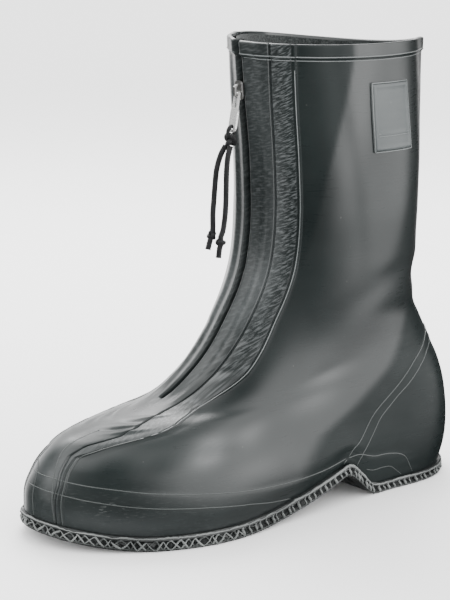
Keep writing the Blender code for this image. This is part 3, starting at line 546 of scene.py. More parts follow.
placketRings = (0.0, 2.0, 2.8, 3.5, 4.0, 4.5, 5.0, 5.5, 6.2, 7.0, 8.0, 9.0, 10.0, 16.0)
flapShares = (0.46, 0.415, 0.355, 0.31, 0.40, 0.72, 0.71, 0.585, 0.46, 0.445, 0.477, 0.50, 0.53, 0.57)
beadShares = (0.60, 0.54, 0.49, 0.475, 0.83, 1.42, 1.45, 1.29, 1.05, 1.015, 1.12, 1.06, 1.00, 1.00)
swingShares = ((-0.85, -0.045), (-0.60, 0.000), (-0.32, 0.028), (0.00, 0.000), (0.16, 0.000))


def throughRows(values, place):
    values = np.asarray(values, float)
    last = len(values) - 1
    place = np.clip(np.asarray(place, float), 0, last)
    low = np.minimum(place.astype(int), last - 1)
    t = place - low
    slopes = np.gradient(values, axis=0)
    joined = values[low] * (2 * t**3 - 3 * t**2 + 1) + values[low + 1] * (3 * t**2 - 2 * t**3)
    return joined + slopes[low] * (t**3 - 2 * t**2 + t) + slopes[low + 1] * (t**3 - t**2)


def underside(y):
    ahead = -np.asarray(y, float) / boot["length"]
    low, high = boot["springEnds"]
    spring = np.clip((ahead - low) / (high - low), 0, 1) ** 2
    foot, top = boot["heelFront"]
    arch = np.clip((boot["archFront"] - ahead) / (boot["archFront"] - top), 0, 1) ** 1.9
    return boot["toeSpring"] * spring + boot["archRise"] * arch * ease(ahead, foot, top)


def footbed(y):
    ahead = -np.asarray(y, float) / boot["length"]
    thicker = (boot["soleEdge"] - boot["heelEdge"]) * ease(ahead, 0.10, 0.30)
    return underside(y) + boot["heelEdge"] + thicker


swingFine = np.linspace(-0.85, 0.16, 60)
swingSoft = np.pad(np.interp(swingFine, *zip(*swingShares)), 9, mode="edge")
swingSoft = np.convolve(swingSoft, np.hanning(19) / np.hanning(19).sum(), mode="valid")


def ringOutline(number, turn, side):
    row = throughRows(rings, number)
    along = (1 - np.cos(turn)) / 2
    y = boot["length"] * (-row[0] + along * (row[0] + row[2]))
    rise = row[1] + along * (row[3] - row[1])
    floorLevel = boot["soleEdge"] + boot["soleGap"]
    low = floorLevel + rise * (boot["ankle"] - floorLevel)
    high = boot["ankle"] + (rise - 1) * (boot["height"] - boot["rimGap"] - boot["ankle"])
    z = np.where(rise <= 1, low, high) + (1 - ease(number, 0, 3)) * (footbed(y) - boot["soleEdge"])
    sines = (0.5, math.sqrt(0.75), 1.0, math.sqrt(0.75), 0.5)
    wide = [w / s for w, s in zip(row[4:], sines)]
    wide = [wide[0] * 1.06] + wide + [wide[-1] * 1.06]
    fore, beside = np.sin(turn) * np.cos(turn), np.sin(turn)
    inner = rimLean["innerFront"] * fore + rimLean["innerSide"] * beside
    outer = rimLean["outerFront"] * fore + rimLean["outerSide"] * beside
    z = z + np.where(side < 0, inner, outer) * ease(number, 13.5, 16)
    x = side * boot["ball"] * throughRows(wide, turn / math.pi * 6) * np.sin(turn)
    x = x + boot["ball"] * np.interp(y / boot["length"], swingFine, swingSoft) * (1 - ease(number, 0, 8))
    return np.stack([x, y, z], -1)


class Ring:
    def __init__(self, number):
        turn = np.linspace(0, math.pi, 241)
        loop = np.concatenate([ringOutline(number, turn, 1), ringOutline(number, turn[::-1], -1)[1:]])
        steps = np.linalg.norm(np.diff(loop, axis=0), axis=1)
        self.run, self.loop = np.concatenate([[0], np.cumsum(steps)]), loop
        self.outer, self.length = self.run[240], self.run[-1]

    def at(self, distance):
        d = np.mod(np.asarray(distance, float), self.length)
        return np.stack([np.interp(d, self.run, self.loop[:, k]) for k in range(3)], -1)


ringsMade = {}


def ring(number):
    key = round(float(number), 4)
    if key not in ringsMade:
        ringsMade[key] = Ring(key)
    return ringsMade[key]


def skin(number, distance, offset=0.0):
    # points on the outer face, moved outwards
    here, low, high = ring(number), ring(max(number - 0.02, 0)), ring(min(number + 0.02, 16))
    distance = np.atleast_1d(np.asarray(distance, float))
    share = distance / here.outer
    up = high.at(share * high.outer) - low.at(share * low.outer)
    ahead = here.at(distance + 0.0015) - here.at(distance - 0.0015)
    normal = np.cross(ahead, up)
    normal /= np.linalg.norm(normal, axis=-1, keepdims=True)
    return here.at(distance) + normal * np.broadcast_to(offset, distance.shape)[:, None]


def flapEdge(number):
    return boot["placket"] * float(np.interp(number, placketRings, flapShares))


def beadEdge(number):
    return boot["placket"] * float(np.interp(number, placketRings, beadShares))


# relief on the wall

relief = {
    "foxing": 0.00035,
    "foxingSoft": 0.04,
    "counter": 0.00040,
    "counterSoft": 0.003,
    "band": 0.0010,
    "tapeEnd": 0.0008,
    "waves": 0.00056,
    "waveSize": 16.0,
}
# creases and swells: ring, share of the way round to the back, spans of both, lean, depth in mm, sides
creases = (
    (10.6, 0.93, 0.50, 0.12, 0.0, -1.3, 2),
    (11.7, 0.90, 0.55, 0.16, 0.4, 0.7, 2),
    (9.2, 0.78, 0.55, 0.20, -0.9, -0.8, 2),
    (10.4, 0.48, 0.70, 0.16, 0.8, -0.7, 2),
    (12.6, 0.42, 1.30, 0.06, -1.2, -0.7, 2),
    (14.2, 0.40, 1.60, 0.07, -1.6, 0.8, 1),
    (13.6, 0.62, 2.20, 0.11, 0.8, 0.8, 2),
    (5.0, 0.05, 0.14, 0.030, 0.5, -1.0, 1),
    (4.75, 0.08, 0.10, 0.030, 0.6, 0.8, 1),
    (5.45, 0.045, 0.14, 0.030, -0.5, -0.8, 2),
    (5.8, 0.06, 0.14, 0.030, 0.4, 0.7, 2),
    (6.6, 0.40, 0.70, 0.12, 0.5, -0.7, 2),
    (3.7, 0.30, 0.50, 0.09, -0.4, -0.6, 2),
    (8.2, 0.10, 0.22, 0.050, 0.7, -0.5, 2),
    (9.6, 0.09, 0.24, 0.050, -0.6, -0.5, 2),
)
foxingTop = (
    (0.0, 2.4), (0.03, 2.4), (0.082, 2.25), (0.127, 2.13), (0.182, 1.95), (0.235, 1.84), (0.312, 1.62),
    (0.367, 1.40), (0.42, 1.16), (0.49, 0.80), (0.562, 0.40), (0.617, 0.20), (0.650, 1.00), (0.675, 1.20),
    (0.70, 1.28), (0.725, 1.22), (0.750, 1.10), (0.768, 0.90), (0.80, 0.10), (0.81, -0.4), (1.0, -0.4),
)
foxingLow = (
    (0.0, 1.58), (0.04, 1.55), (0.087, 1.43), (0.147, 1.30), (0.215, 1.17), (0.29, 1.02), (0.37, 0.73),
    (0.425, 0.36), (0.47, 0.08),
)
counterEdge = (
    (0.05, 0.607), (0.25, 0.618), (1.2, 0.628), (2.2, 0.642), (3.3, 0.664), (3.65, 0.677),
    (4.65, 0.727), (5.75, 0.780), (6.2, 0.822), (6.75, 0.88), (6.95, 0.94), (7.0, 1.0),
)
counterInner = (
    (0.12, 0.644), (0.9, 0.652), (2.05, 0.663), (3.15, 0.687), (4.0, 0.725), (4.4, 0.750),
    (5.3, 0.802), (5.9, 0.847), (6.3, 0.915), (6.42, 1.0),
)
heelPatch = ((0.42, 0.675), (0.66, 0.705), (0.62, 0.737), (0.10, 0.772))
toeLine = (
    (4.9, 0.016), (4.6, 0.015), (4.0, 0.012), (3.65, 0.012), (2.7, 0.025), (1.4, 0.035), (0.03, 0.041),
)
toeLineInner = (
    (4.2, 0.110), (3.7, 0.080), (3.35, 0.062), (2.95, 0.032), (2.55, 0.014), (1.4, 0.006), (0.03, 0.002),
)

# places that mirror more or less, and patches of painted sheen: ring, share of the way to the back, spans of
# both, mirror, painted sheen
polishAndPaintedSheen = (
    (11.0, 0.27, 1.6, 0.085, -1.1, 0.0),
    (9.9, 0.37, 0.9, 0.100, -0.9, 0.0),
    (8.2, 0.20, 1.4, 0.045, -1.1, 0.0),
    (6.7, 0.19, 0.8, 0.035, -1.2, 0.0),
    (14.6, 0.18, 0.9, 0.035, -0.8, 0.0),
    (10.8, 0.62, 0.9, 0.120, 0.7, 0.15),
    (4.7, 0.05, 0.8, 0.055, -1.5, 0.0),
    (4.2, 0.16, 0.6, 0.050, -1.2, 0.0),
    (3.1, 0.115, 0.5, 0.035, -1.6, 0.0),
    (2.3, 0.125, 0.4, 0.050, -1.0, 0.0),
    (3.2, 0.19, 0.5, 0.030, -0.8, 0.0),
    (7.0, 0.00, 0.9, 0.060, -1.0, 0.0),
    (3.5, 0.270, 0.6, 0.032, 1.0, 0.45),
    (3.9, 0.350, 0.6, 0.035, 0.5, 0.10),
    (5.0, 0.480, 0.8, 0.060, 0.4, 0.05),
    (6.7, 0.470, 0.6, 0.070, 0.5, 0.05),
    (2.4, 0.370, 0.5, 0.060, 0.3, 0.0),
    (2.6, 0.015, 0.7, 0.035, 0.6, 0.45),
    (4.0, -0.005, 0.35, 0.018, 0.6, 0.70),
    (0.35, 0.14, 0.5, 0.120, 0.3, 0.35),
    (0.9, 0.310, 0.4, 0.050, -0.4, 0.0),
    (12.7, 0.115, 2.0, 0.026, 0.3, 0.35),
    (11.1, 0.080, 0.8, 0.050, 0.3, 0.60),
    (10.1, 0.060, 0.5, 0.035, 0.0, 0.35),
    (14.9, 0.060, 0.9, 0.050, 0.2, 0.15),
)
# where the shade's edge runs on heel and shaft: ring, share
heelShade = (
    (0, 0.50), (2, 0.525), (3, 0.550), (4, 0.615), (5, 0.655), (6, 0.69), (7, 0.715), (8, 0.74), (10, 0.82),
)
shaftShade = ((11.4, 0.20), (12.6, 0.235), (13.7, 0.275), (15.0, 0.350), (15.8, 0.390))
shades = {
    "heelDepth": 1.7,
    "heelSoft": 0.035,
    "heelEnds": (8.3, 10),
    "shaftGlow": 0.45,
    "glowEnds": (0.05, 0.16),
    "shaftDepth": 0.95,
    "depthStarts": (0.145, 0.165),
    "shaftSoft": 0.014,
    "shaftStarts": (11.4, 12.4),
}


def polishAndPaintedSheenAt(number, share):
    mirror, paintedSheen = np.zeros(share.shape), np.zeros(share.shape)
    # the last column, dull, is painted sheen: it lightens the colour where highlights fall
    for at, around, tall, wide, shine, dull in polishAndPaintedSheen:
        near = np.exp(-((number - at) / tall) ** 2 - ((share - around) / wide) ** 2)
        mirror, paintedSheen = mirror + shine * near, paintedSheen + dull * near
    edge, soft = np.interp(number, *zip(*heelShade)), shades["heelSoft"]
    onHeel = 1 - ease(number, *shades["heelEnds"])
    mirror = mirror - shades["heelDepth"] * ease(share, edge - soft, edge + soft) * onHeel
    edge, soft = np.interp(number, *zip(*shaftShade)), shades["shaftSoft"]
    lit = ease(share, edge - soft, edge + soft)
    fadeStart, fadeEnd = shades["glowEnds"]
    glow = shades["shaftGlow"] * lit * (1 - ease(share, edge + fadeStart, edge + fadeEnd))
    shade = shades["shaftDepth"] * (1 - lit) * ease(share, *shades["depthStarts"])
    mirror = mirror + (glow - shade) * ease(number, *shades["shaftStarts"])
    return np.clip(np.exp(mirror), 0, 2), np.clip(paintedSheen, 0, 1)


def placketHeight(number, s):
    # flap, groove, grained strip and bead, in millimetres above the wall
    flap, bead, slit = flapEdge(number), beadEdge(number), boot["slit"] / 2
    onToe = 1 - ease(number, 6.5, 7.2)
    shaft = (
        (0, 0.70), (slit, 0.75), (slit + 0.8 * mm, 1.40), (slit + 0.38 * (flap - slit), 0.75),
        (slit + 0.72 * (flap - slit), 1.95), (flap - 0.5 * mm, 1.60), (flap + 0.35 * mm, 0.10),
        (flap + 1.5 * mm, 1.15), ((flap + bead) / 2, 1.35), (bead - 2.2 * mm, 1.05), (bead - 1.1 * mm, 0.55),
        (bead - 0.2 * mm, 1.75), (bead + 0.5 * mm, 1.70), (bead + 1.6 * mm, 0.0),
    )
    toe = (
        (0, 1.35), (0.75 * flap, 1.40), (flap - 0.5 * mm, 1.30), (flap + 0.3 * mm, 0.25),
        (flap + 1.3 * mm, 1.0), ((flap + bead) / 2 + 0.3 * mm, 1.05), (bead - 1.9 * mm, 0.95),
        (bead - 1.0 * mm, 0.40), (bead - 0.2 * mm, 1.15), (bead + 0.3 * mm, 1.05), (bead + 1.1 * mm, 0.35),
        (bead + 6.0 * mm, 0.0),
    )
    lift = mm * boot["flap"] / boot["flapDrawn"]
    return lift * ((1 - onToe) * eased(s, shaft) + onToe * eased(s, toe))


def reliefHeight(number, distance):
    here = ring(number)
    d = np.asarray(distance, float)
    side = np.where(d <= here.outer, 1, -1)
    s = np.where(side > 0, d, here.length - d)
    share = s / np.where(side > 0, here.outer, here.length - here.outer)
    height = placketHeight(number, s)
    outside = ease(s, beadEdge(number), beadEdge(number) + 0.002)
    top, soft = np.interp(share, *zip(*foxingTop)), relief["foxingSoft"]
    height = height + relief["foxing"] * outside * (1 - ease(number, top - soft, top + soft))
    if number < counterEdge[-1][0]:
        edge, soft = np.interp(number, *zip(*counterEdge)), relief["counterSoft"]
        height = height + relief["counter"] * ease(share, edge - soft, edge + soft)
    band = boot["bandRing"]
    height = height + relief["band"] * ease(number, band - 0.03, band + 0.01)
    # the tape's end, folded over at the collar
    slant = ease(s, 0.009, 0.0125)
    folded = ease(number, band - 0.05 + 0.10 * slant, band - 0.02 + 0.12 * slant)
    height = height + relief["tapeEnd"] * folded * (1 - ease(s, 0.0105, 0.0122))
    for at, around, tall, wide, lean, depth, sides in creases:
        off = (number - at) - lean * (share - around) / wide * tall
        bump = np.exp(-(off / tall) ** 2 - ((share - around) / wide) ** 2)
        height = height + depth * mm * bump * np.where((side > 0) | (sides == 2), 1, 0.3)
    return height


def wavesAt(number, points):
    # slow swells of the moulded wall, none at the sole or the collar
    fade = float(ease(number, 0.0, 0.8) * (1 - ease(number, 14.6, 15.6)))
    size = relief["waveSize"]
    broad = np.array([noise.noise(Vector(p) * size) for p in points])
    small = np.array([noise.noise(Vector(p) * size * 2.7) for p in points])
    return relief["waves"] * fade * (broad + 0.35 * small)


def rowNumbers():
    spans = ((0, 3, 36), (3, 8, 82), (8, 12, 44), (12, 15.6, 56), (15.6, 16, 14))
    out = []
    for a, b, count in spans:
        out.extend(a + (b - a) * k / count for k in range(count))
    return out + [16.0]


# where the skin's columns stand over the flap, the groove, the strip and the bead
columns = {
    "flap": (0.03, 0.08, 0.15, 0.24, 0.33, 0.42, 0.51, 0.60, 0.69, 0.78, 0.86, 0.92, 0.96),
    "groove": (-0.2, 0.1, 0.35, 0.6, 0.9, 1.3, 1.7),
    "strip": (0.14, 0.28, 0.42, 0.56, 0.70, 0.84),
    "bead": (-2.4, -1.9, -1.5, -1.1, -0.8, -0.5, -0.2, 0.1, 0.4, 0.7, 1.0, 1.4, 1.9),
    "rest": 58,
}


def columnPlaces(number):
    # distances from the front, dense over the placket
    here = ring(number)
    slit, flap, bead = boot["slit"] / 2, flapEdge(number), beadEdge(number)
    low, high = flap + columns["groove"][-1] * mm, bead + columns["bead"][0] * mm
    near = [slit + f * (flap - slit) for f in columns["flap"]]
    near += [flap + k * mm for k in columns["groove"]]
    near += [low + f * (high - low) for f in columns["strip"]]
    near += [bead + k * mm for k in columns["bead"]]
    count = columns["rest"]
    both = []
    for total in (here.outer, here.length - here.outer):
        rest = [near[-1] + (total - near[-1]) * (k / count) ** 1.08 for k in range(1, count + 1)]
        both.append(np.array(near + rest))
    return both


# the rolled lip over the collar: across and up, in millimetres
lip = ((-0.1, 0.35), (-0.5, 0.75), (-1.2, 1.00), (-2.1, 0.85), (-2.9, 0.45), (-3.1, -0.6))
# the slit's cut edge: which point from the edge, and how high it stands once the slit is open
cutEdge = ((0, -boot["wall"]), (1, -0.0010), (2, 0.0002))


def skinRow(number, turned):
    # one row of the skin, and its distances from the front
    slit = boot["slit"] / 2
    here = ring(number)
    outer, inner = columnPlaces(number)
    apart = float(ease(number, 6.93, 7.03))
    nearFlat = np.array([0.25, 0.55, 0.85]) * slit
    nearOpen = np.array([slit - 0.0001, slit - 0.0002, slit])
    near = nearFlat + (nearOpen - nearFlat) * apart
    d = np.concatenate([near, outer, here.length - inner[:-1][::-1], here.length - near[::-1]])
    height = reliefHeight(number, d)
    for k, sunk in cutEdge:
        for j in (k, len(d) - 1 - k):
            height[j] = height[j] * (1 - apart) + sunk * apart
    height = height + wavesAt(number, skin(number, d))
    if not turned:
        return d, skin(number, d, height)
    across, rise = turned
    rolled = np.where(np.arange(len(d)) % (len(d) - 1) < 3, 0, 1)
    return d, skin(number, d, height + across * mm * rolled) + np.array([0, 0, rise * mm])


# how far the masks reach: the strip's grain down to the toe, and the scuffs
wear = {
    "stripGrain": (0.25, 0.75),
    "flapGrain": (0.12, 0.28),
    "everywhere": 0.05,
    "toe": 0.75,
    "toeStarts": (0.13, 0.19),
    "toeTops": (0.022, 0.045),
    "patch": 2.4,
    "patchPlace": (1.15, 0.125),
    "patchSpans": (0.3, 0.025),
}


def wearAt(number, s, share, points):
    # grain on strip and flap, and scuffs on the toe and in one rubbed patch
    flap, bead = flapEdge(number), beadEdge(number)
    onStrip = ease(s, flap + 0.6 * mm, flap + 1.6 * mm) * (1 - ease(s, bead - 2.0 * mm, bead - 1.2 * mm))
    onFlap = 1 - ease(s, flap - mm, flap)
    least, more = wear["stripGrain"]
    grain = onStrip * float(least + more * ease(number, 3.6, 6.4))
    least, more = wear["flapGrain"]
    grain = grain + onFlap * float(least + more * ease(number, 7, 9))
    toeward = ease(-points[:, 1], *wear["toeStarts"]) * (1 - ease(points[:, 2], *wear["toeTops"]))
    (at, around), (tall, wide) = wear["patchPlace"], wear["patchSpans"]
    rubbed = np.exp(-((number - at) / tall) ** 2 - ((share - around) / wide) ** 2)
    return grain, wear["everywhere"] + wear["toe"] * toeward + wear["patch"] * rubbed


def makeBootSkin():
    rows = [(n, None) for n in rowNumbers()] + [(16.0, k) for k in lip]
    verts, wallUv = [], []
    masks = {"grain": [], "scuff": [], "mirror": [], "paintedSheen": []}
    for number, turned in rows:
        here = ring(number)
        d, points = skinRow(number, turned)
        verts.append(points)
        s = np.minimum(d, here.length - d)
        share = s / np.where(d <= here.outer, here.outer, here.length - here.outer)
        values = (*wearAt(number, s, share, points), *polishAndPaintedSheenAt(number, share))
        for mask, value in zip(masks.values(), values):
            mask.append(value)
        around = np.where(d <= here.outer, d, d - here.length)
        wallUv.append(np.stack([around, points[:, 2] - 0.6 * points[:, 1]], -1))
    count, total = len(verts[0]), len(verts)
    faces = []
    for i in range(total - 1):
        opened = rows[i][0] >= boot["zipEnd"]
        for j in range(count):
            if j == count - 1 and opened:
                continue
            k = (j + 1) % count
            faces.append((i * count + j, i * count + k, (i + 1) * count + k, (i + 1) * count + j))
    obj = meshFrom("bootSkin", np.concatenate(verts), faces, bootRubber)
    for name, values in masks.items():
        layer = obj.data.attributes.new(name, "FLOAT", "POINT")
        layer.data.foreach_set("value", np.concatenate(values).astype(float))
    uv = obj.data.uv_layers.new(name="wall")
    loops = np.zeros(len(obj.data.loops), int)
    obj.data.loops.foreach_get("vertex_index", loops)
    uv.data.foreach_set("uv", np.concatenate(wallUv)[loops].ravel())
    return obj


bootSkin = makeBootSkin()
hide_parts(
    "upper", "placket_outer", "placket_inner", "toe_strip",
    "foxing_outer", "foxing_inner", "heel_counter", "collar_binding",
)
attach(bootSkin, "boot")
print("boot skin", len(bootSkin.data.polygons))


def wallLine(knots, side=1, step=0.0012, lift=0.0):
    # points along a line given as ring and share, on the relief
    out = []
    for (na, sa), (nb, sb) in zip(knots[:-1], knots[1:]):
        gap = np.linalg.norm(skin(na, sa * ring(na).outer)[0] - skin(nb, sb * ring(nb).outer)[0])
        count = max(2, int(gap / step))
        out.extend((na + (nb - na) * k / count, sa + (sb - sa) * k / count) for k in range(count))
    out.append(knots[-1])
    soft = np.array(out)
    padded = np.pad(soft, ((4, 4), (0, 0)), mode="edge")
    kernel = np.hanning(11)[1:-1] / np.hanning(11).sum()
    smooth = np.stack([np.convolve(padded[:, c], kernel, "valid") for c in (0, 1)], -1)
    smooth[0], smooth[-1] = soft[0], soft[-1]
    points = []
    for number, share in smooth:
        here = ring(number)
        d = share * here.outer if side > 0 else here.length - share * (here.length - here.outer)
        height = reliefHeight(number, np.array([d])) + wavesAt(number, skin(number, d))
        points.append(skin(number, d, height + lift)[0])
    return points


# radii of the raised lines, how far each is sunk, and where the bead's line turns to painted highlight
seams = {
    "foxing": 0.00033,
    "counter": 0.00036,
    "toe": 0.00030,
    "collar": 0.00045,
    "bead": 0.00026,
    "sunk": 0.25,
    "collarSunk": 0.2,
    "beadSunk": 0.0001,
    "beadEnds": (0.05, 4.3, 15.6),
    "collarRings": ((15.755, 0.7), (15.815, 0.8)),
}


def makeSeams():
    pieces, bright = [], []
    foxingLine = [(n, s) for s, n in foxingTop if n > 0]
    foxingUnder = [(n, s) for s, n in foxingLow]
    for side in (1, -1):
        lines = (
            (foxingLine, seams["foxing"]), (foxingUnder, seams["foxing"] * 0.9),
            (counterEdge, seams["counter"]), (counterInner, seams["counter"]),
            (heelPatch, seams["counter"] * 0.6), (toeLine if side > 0 else toeLineInner, seams["toe"]),
        )
        for knots, radius in lines:
            points = wallLine(knots, side, lift=-radius * seams["sunk"])
            pieces.append(tube("seam", points, radius, litSeamRubber, 8))
        low, turn, high = seams["beadEnds"]
        for a, b, group, finish in ((low, turn, pieces, litSeamRubber), (turn, high, bright, highlightRubber)):
            knots = [(n, beadEdge(n) / ring(n).outer) for n in np.linspace(a, b, 40)]
            points = wallLine(knots, side, lift=-seams["beadSunk"])
            group.append(tube("seam", points, seams["bead"], finish, 8))
        start = (boot["slit"] / 2 + 0.0004) / ring(15.7).outer
        for number, share in seams["collarRings"]:
            radius = seams["collar"] * share
            knots = [(number, start + (1 - start) * k / 40) for k in range(41)]
            points = wallLine(knots, side, lift=-radius * seams["collarSunk"])
            bright.append(tube("seam", points, radius, highlightRubber, 8))
    return joinMeshes("seamLines", pieces), joinMeshes("edgeLines", bright)


seamLines, edgeLines = makeSeams()
for piece in (seamLines, edgeLines):
    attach(piece, "boot")
print("seams", len(seamLines.data.polygons))

# sole edge: ragged welt line and the ladder of ribs, lighter with scuffs and painted highlight

soleEdge = {
    "lip": 0.0030,
    "flash": 0.00046,
    "rib": 0.00052,
    "pitch": 0.0047,
    "weaveFrom": 0.52,
    "sway": 0.0007,
    "lean": 0.0024,
}
# the side's profile: share of the way up, and how far in it lies
sideShares, sideInsets = (0, 0.36, 0.64, 0.78, 1.0), (-0.0012, -0.0002, -0.0012, 0.0, -0.0007)


def soleFace(distance, share, out=0.0):
    # a point on the sole's side, up from its foot by share
    here = ring(0)
    d = np.atleast_1d(np.asarray(distance, float))
    base = here.at(d)
    ahead = here.at(d + 0.001) - here.at(d - 0.001)
    across = np.stack([ahead[:, 1], -ahead[:, 0]], -1)
    across /= np.linalg.norm(across, axis=-1, keepdims=True)
    inset = soleEdge["lip"] + np.interp(share, sideShares, sideInsets) + out
    plan = base[:, :2] + across * np.broadcast_to(inset, d.shape)[:, None]
    low = underside(plan[:, 1])
    z = low + np.broadcast_to(share, d.shape) * (base[:, 2] - boot["soleGap"] - low)
    return np.column_stack([plan, z])


def crossingRibs(k, a, b, thin, rng):
    # a rib painted bright with highlight and a fainter one that crosses it, its highlight painted full or
    # dim, both a little irregular
    t = np.linspace(0, 1, 9)
    first, last = rng.uniform(0.02, 0.22), rng.uniform(0.58, 0.86)
    bend = rng.uniform(-0.10, 0.10) * np.sin(np.pi * t)
    swell = thin * (0.70 + rng.uniform(0.1, 0.6) * np.sin(np.pi * t + rng.uniform(-0.6, 0.6)))
    climb = t if k % 2 else 1 - t
    up = first + (last - first) * climb + bend
    front = tube("rib", soleFace(a + (b - a) * t, up, 0.0004), swell, litFlashRubber, 6)
    up = 0.12 + 0.66 * (1 - climb) - bend
    finish = litFlashRubber if rng.uniform() > 0.6 else dimLitFlash
    return front, tube("rib", soleFace(a + (b - a) * t, up, 0.0002), thin * 0.9, finish, 6), finish


def leaningRib(k, a, thin):
    # behind the ball the ribs are single, thick in the middle
    t = np.linspace(0, 1, 9)
    lean = soleEdge["lean"] + 0.0006 * math.sin(k * 2.3)
    side = 1 if a < ring(0).outer else -1
    swell = thin * 1.35 * (0.55 + 0.45 * np.sin(np.pi * t))
    return tube("rib", soleFace(a - side * lean * t, 0.10 + 0.72 * t, 0.0003), swell, litFlashRubber, 8)


def makeSoleEdge():
    total = ring(0).length
    rng = np.random.default_rng(11)
    count = int(total / 0.0011)
    d = np.linspace(0, total, count, endpoint=False)
    rough = np.convolve(rng.normal(0, 1, count + 4), np.ones(5) / 5, "valid")
    line = soleFace(d, np.clip(0.92 + 0.06 * rough, 0.80, 1.0), 0.0002)
    ahead = -ring(0).at(d)[:, 1] / boot["length"]
    atArch = np.exp(-((ahead - 0.25) / 0.09) ** 2)
    radius = soleEdge["flash"] * (1 + 0.60 * rough + 0.9 * atArch)
    closedLine, closedRadius = np.vstack([line, line[:1]]), np.append(radius, radius[0])
    light = [tube("weltLine", closedLine, closedRadius, litFlashRubber, 8, caps=False)]
    foot = soleFace(np.append(d, 0), 0.14, 0.0001)
    dark = [tube("footLine", foot, soleEdge["rib"] * 0.8, dimLitFlash, 6, caps=False)]
    steps = int(total / soleEdge["pitch"] / 2) * 2
    for k in range(steps):
        a = total * k / steps + soleEdge["sway"] * math.sin(k * 1.9 - 1.9)
        b = total * (k + 1) / steps + soleEdge["sway"] * math.sin(k * 1.9)
        thin = soleEdge["rib"] * (0.95 + 0.30 * math.sin(k * 2.6))
        if -float(ring(0).at(a)[1]) / boot["length"] <= soleEdge["weaveFrom"]:
            light.append(leaningRib(k, a, thin))
            continue
        front, back, finish = crossingRibs(k, a, b, thin, rng)
        light.append(front)
        if finish == litFlashRubber:
            light.append(back)
        else:
            dark.append(back)
    return joinMeshes("darkRibs", dark), joinMeshes("soleEdgeRibs", light)


darkRibs, soleRibs = makeSoleEdge()
for piece in (darkRibs, soleRibs):
    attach(piece, "boot")
print("sole edge", len(soleRibs.data.polygons))

# lining inside

liningSizes = {"low": 0.35, "high": 15.985, "clear": 0.00025, "rows": 90, "columns": 160}


def makeLining():
    slit = boot["slit"] / 2
    low, high = liningSizes["low"], liningSizes["high"]
    rows, columnCount = liningSizes["rows"], liningSizes["columns"]
    verts, faces = [], []
    for k in range(rows + 1):
        number = low + (high - low) * k / rows
        d = slit + (ring(number).length - 2 * slit) * np.linspace(0, 1, columnCount + 1)
        verts.append(skin(number, d, -boot["wall"] - liningSizes["clear"]))
    step = columnCount + 1
    for i in range(rows):
        for j in range(columnCount):
            faces.append((i * step + j, (i + 1) * step + j, (i + 1) * step + j + 1, i * step + j + 1))
    return meshFrom("lining", np.concatenate(verts), faces, liningCloth)


lining = makeLining()
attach(lining, "boot")

# label patch

label = {
    "rings": (14.15, 15.37),
    "from": 0.0793,
    "to": 0.1120,
    "lean": 0.0015,
    "thick": 0.0013,
    "bevel": 0.0016,
    "border": 0.0030,
    "sunk": 0.00045,
    "bar": 0.27,
    "barHeight": 0.0003,
    "barBelow": 0.045,
    "moulding": 0.00036,
    "fineMoulding": 0.00022,
}


def labelPlace(u, v):
    # ring and distance from the front, for shares across and up the label
    low, high = label["rings"]
    wide = label["to"] - label["from"]
    return low + v * (high - low), label["from"] + u * wide + label["lean"] * (1 - v) * u


def makeLabel():
    across, tall = 72, 44
    verts, faces = [], []
    wide = label["to"] - label["from"]
    low, high = [skin(number, 0.09)[0] for number in label["rings"]]
    rise = float(np.linalg.norm(high - low))
    u = np.linspace(0, 1, across + 1)
    sideways = np.minimum(u, 1 - u) * wide
    for i in range(tall + 1):
        v = i / tall
        number, d = labelPlace(u, v)
        edge = np.minimum(sideways, min(v, 1 - v) * rise)
        height = 0.0002 + label["thick"] * ease(edge, -0.0001, label["bevel"])
        height = height - label["sunk"] * ease(edge, label["border"] * 0.75, label["border"] * 1.15)
        bar = np.exp(-((v - label["bar"]) * rise / 0.0009) ** 2) * ease(sideways, 0.004, 0.006)
        verts.append(skin(number, d, height + label["barHeight"] * bar))
    for i in range(tall):
        for j in range(across):
            a = i * (across + 1) + j
            faces.append((a, a + 1, a + across + 2, a + across + 1))
    return meshFrom("label", np.concatenate(verts), faces, labelRubber)


def makeLabelEdges():
    # fine moulding round the label and across it, painted bright as a highlight: corners, radius and height
    # of each line
    low, high = label["rings"]
    bar, below = label["bar"], label["bar"] - label["barBelow"] / (high - low)
    lines = (
        (((0.0, 0.0), (1.0, 0.0), (1.0, 1.0), (0.0, 1.0), (0.0, 0.0)), label["moulding"], 0.00095),
        (((0.08, bar), (0.92, bar)), label["fineMoulding"], 0.00105),
        (((0.08, below), (0.92, below)), label["fineMoulding"], 0.00105),
    )
    inset = 0.0006 / (label["to"] - label["from"])
    pieces = []
    for corners, radius, rise in lines:
        points = []
        for (ua, va), (ub, vb) in zip(corners[:-1], corners[1:]):
            for t in np.linspace(0, 1, 24):
                u = inset + (ua + (ub - ua) * t) * (1 - 2 * inset)
                number, d = labelPlace(u, va + (vb - va) * t)
                points.append(skin(number, d, rise)[0])
        steps = zip(points[1:], points[:-1])
        kept = [points[0]] + [here for here, last in steps if np.linalg.norm(here - last) > 1e-5]
        pieces.append(tube("labelEdge", kept, radius, highlightRubber, 8))
    return joinMeshes("labelEdges", pieces)


labelEdges = makeLabelEdges()
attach(labelEdges, "boot")
labelPatch = makeLabel()
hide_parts("label_patch")
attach(labelPatch, "boot")

# zip

zipSizes = {
    "pitch": 0.0021,
    "tooth": (0.0021, 0.0022, 0.0011),
    "toothBevel": 0.00025,
    "belowWall": 0.0014,
    "halfStep": 0.00035,
    "apart": 0.0022,
    "rise": 0.0006,
    "chain": (7.12, 14.95),
    "open": (15.05, 15.85),
}


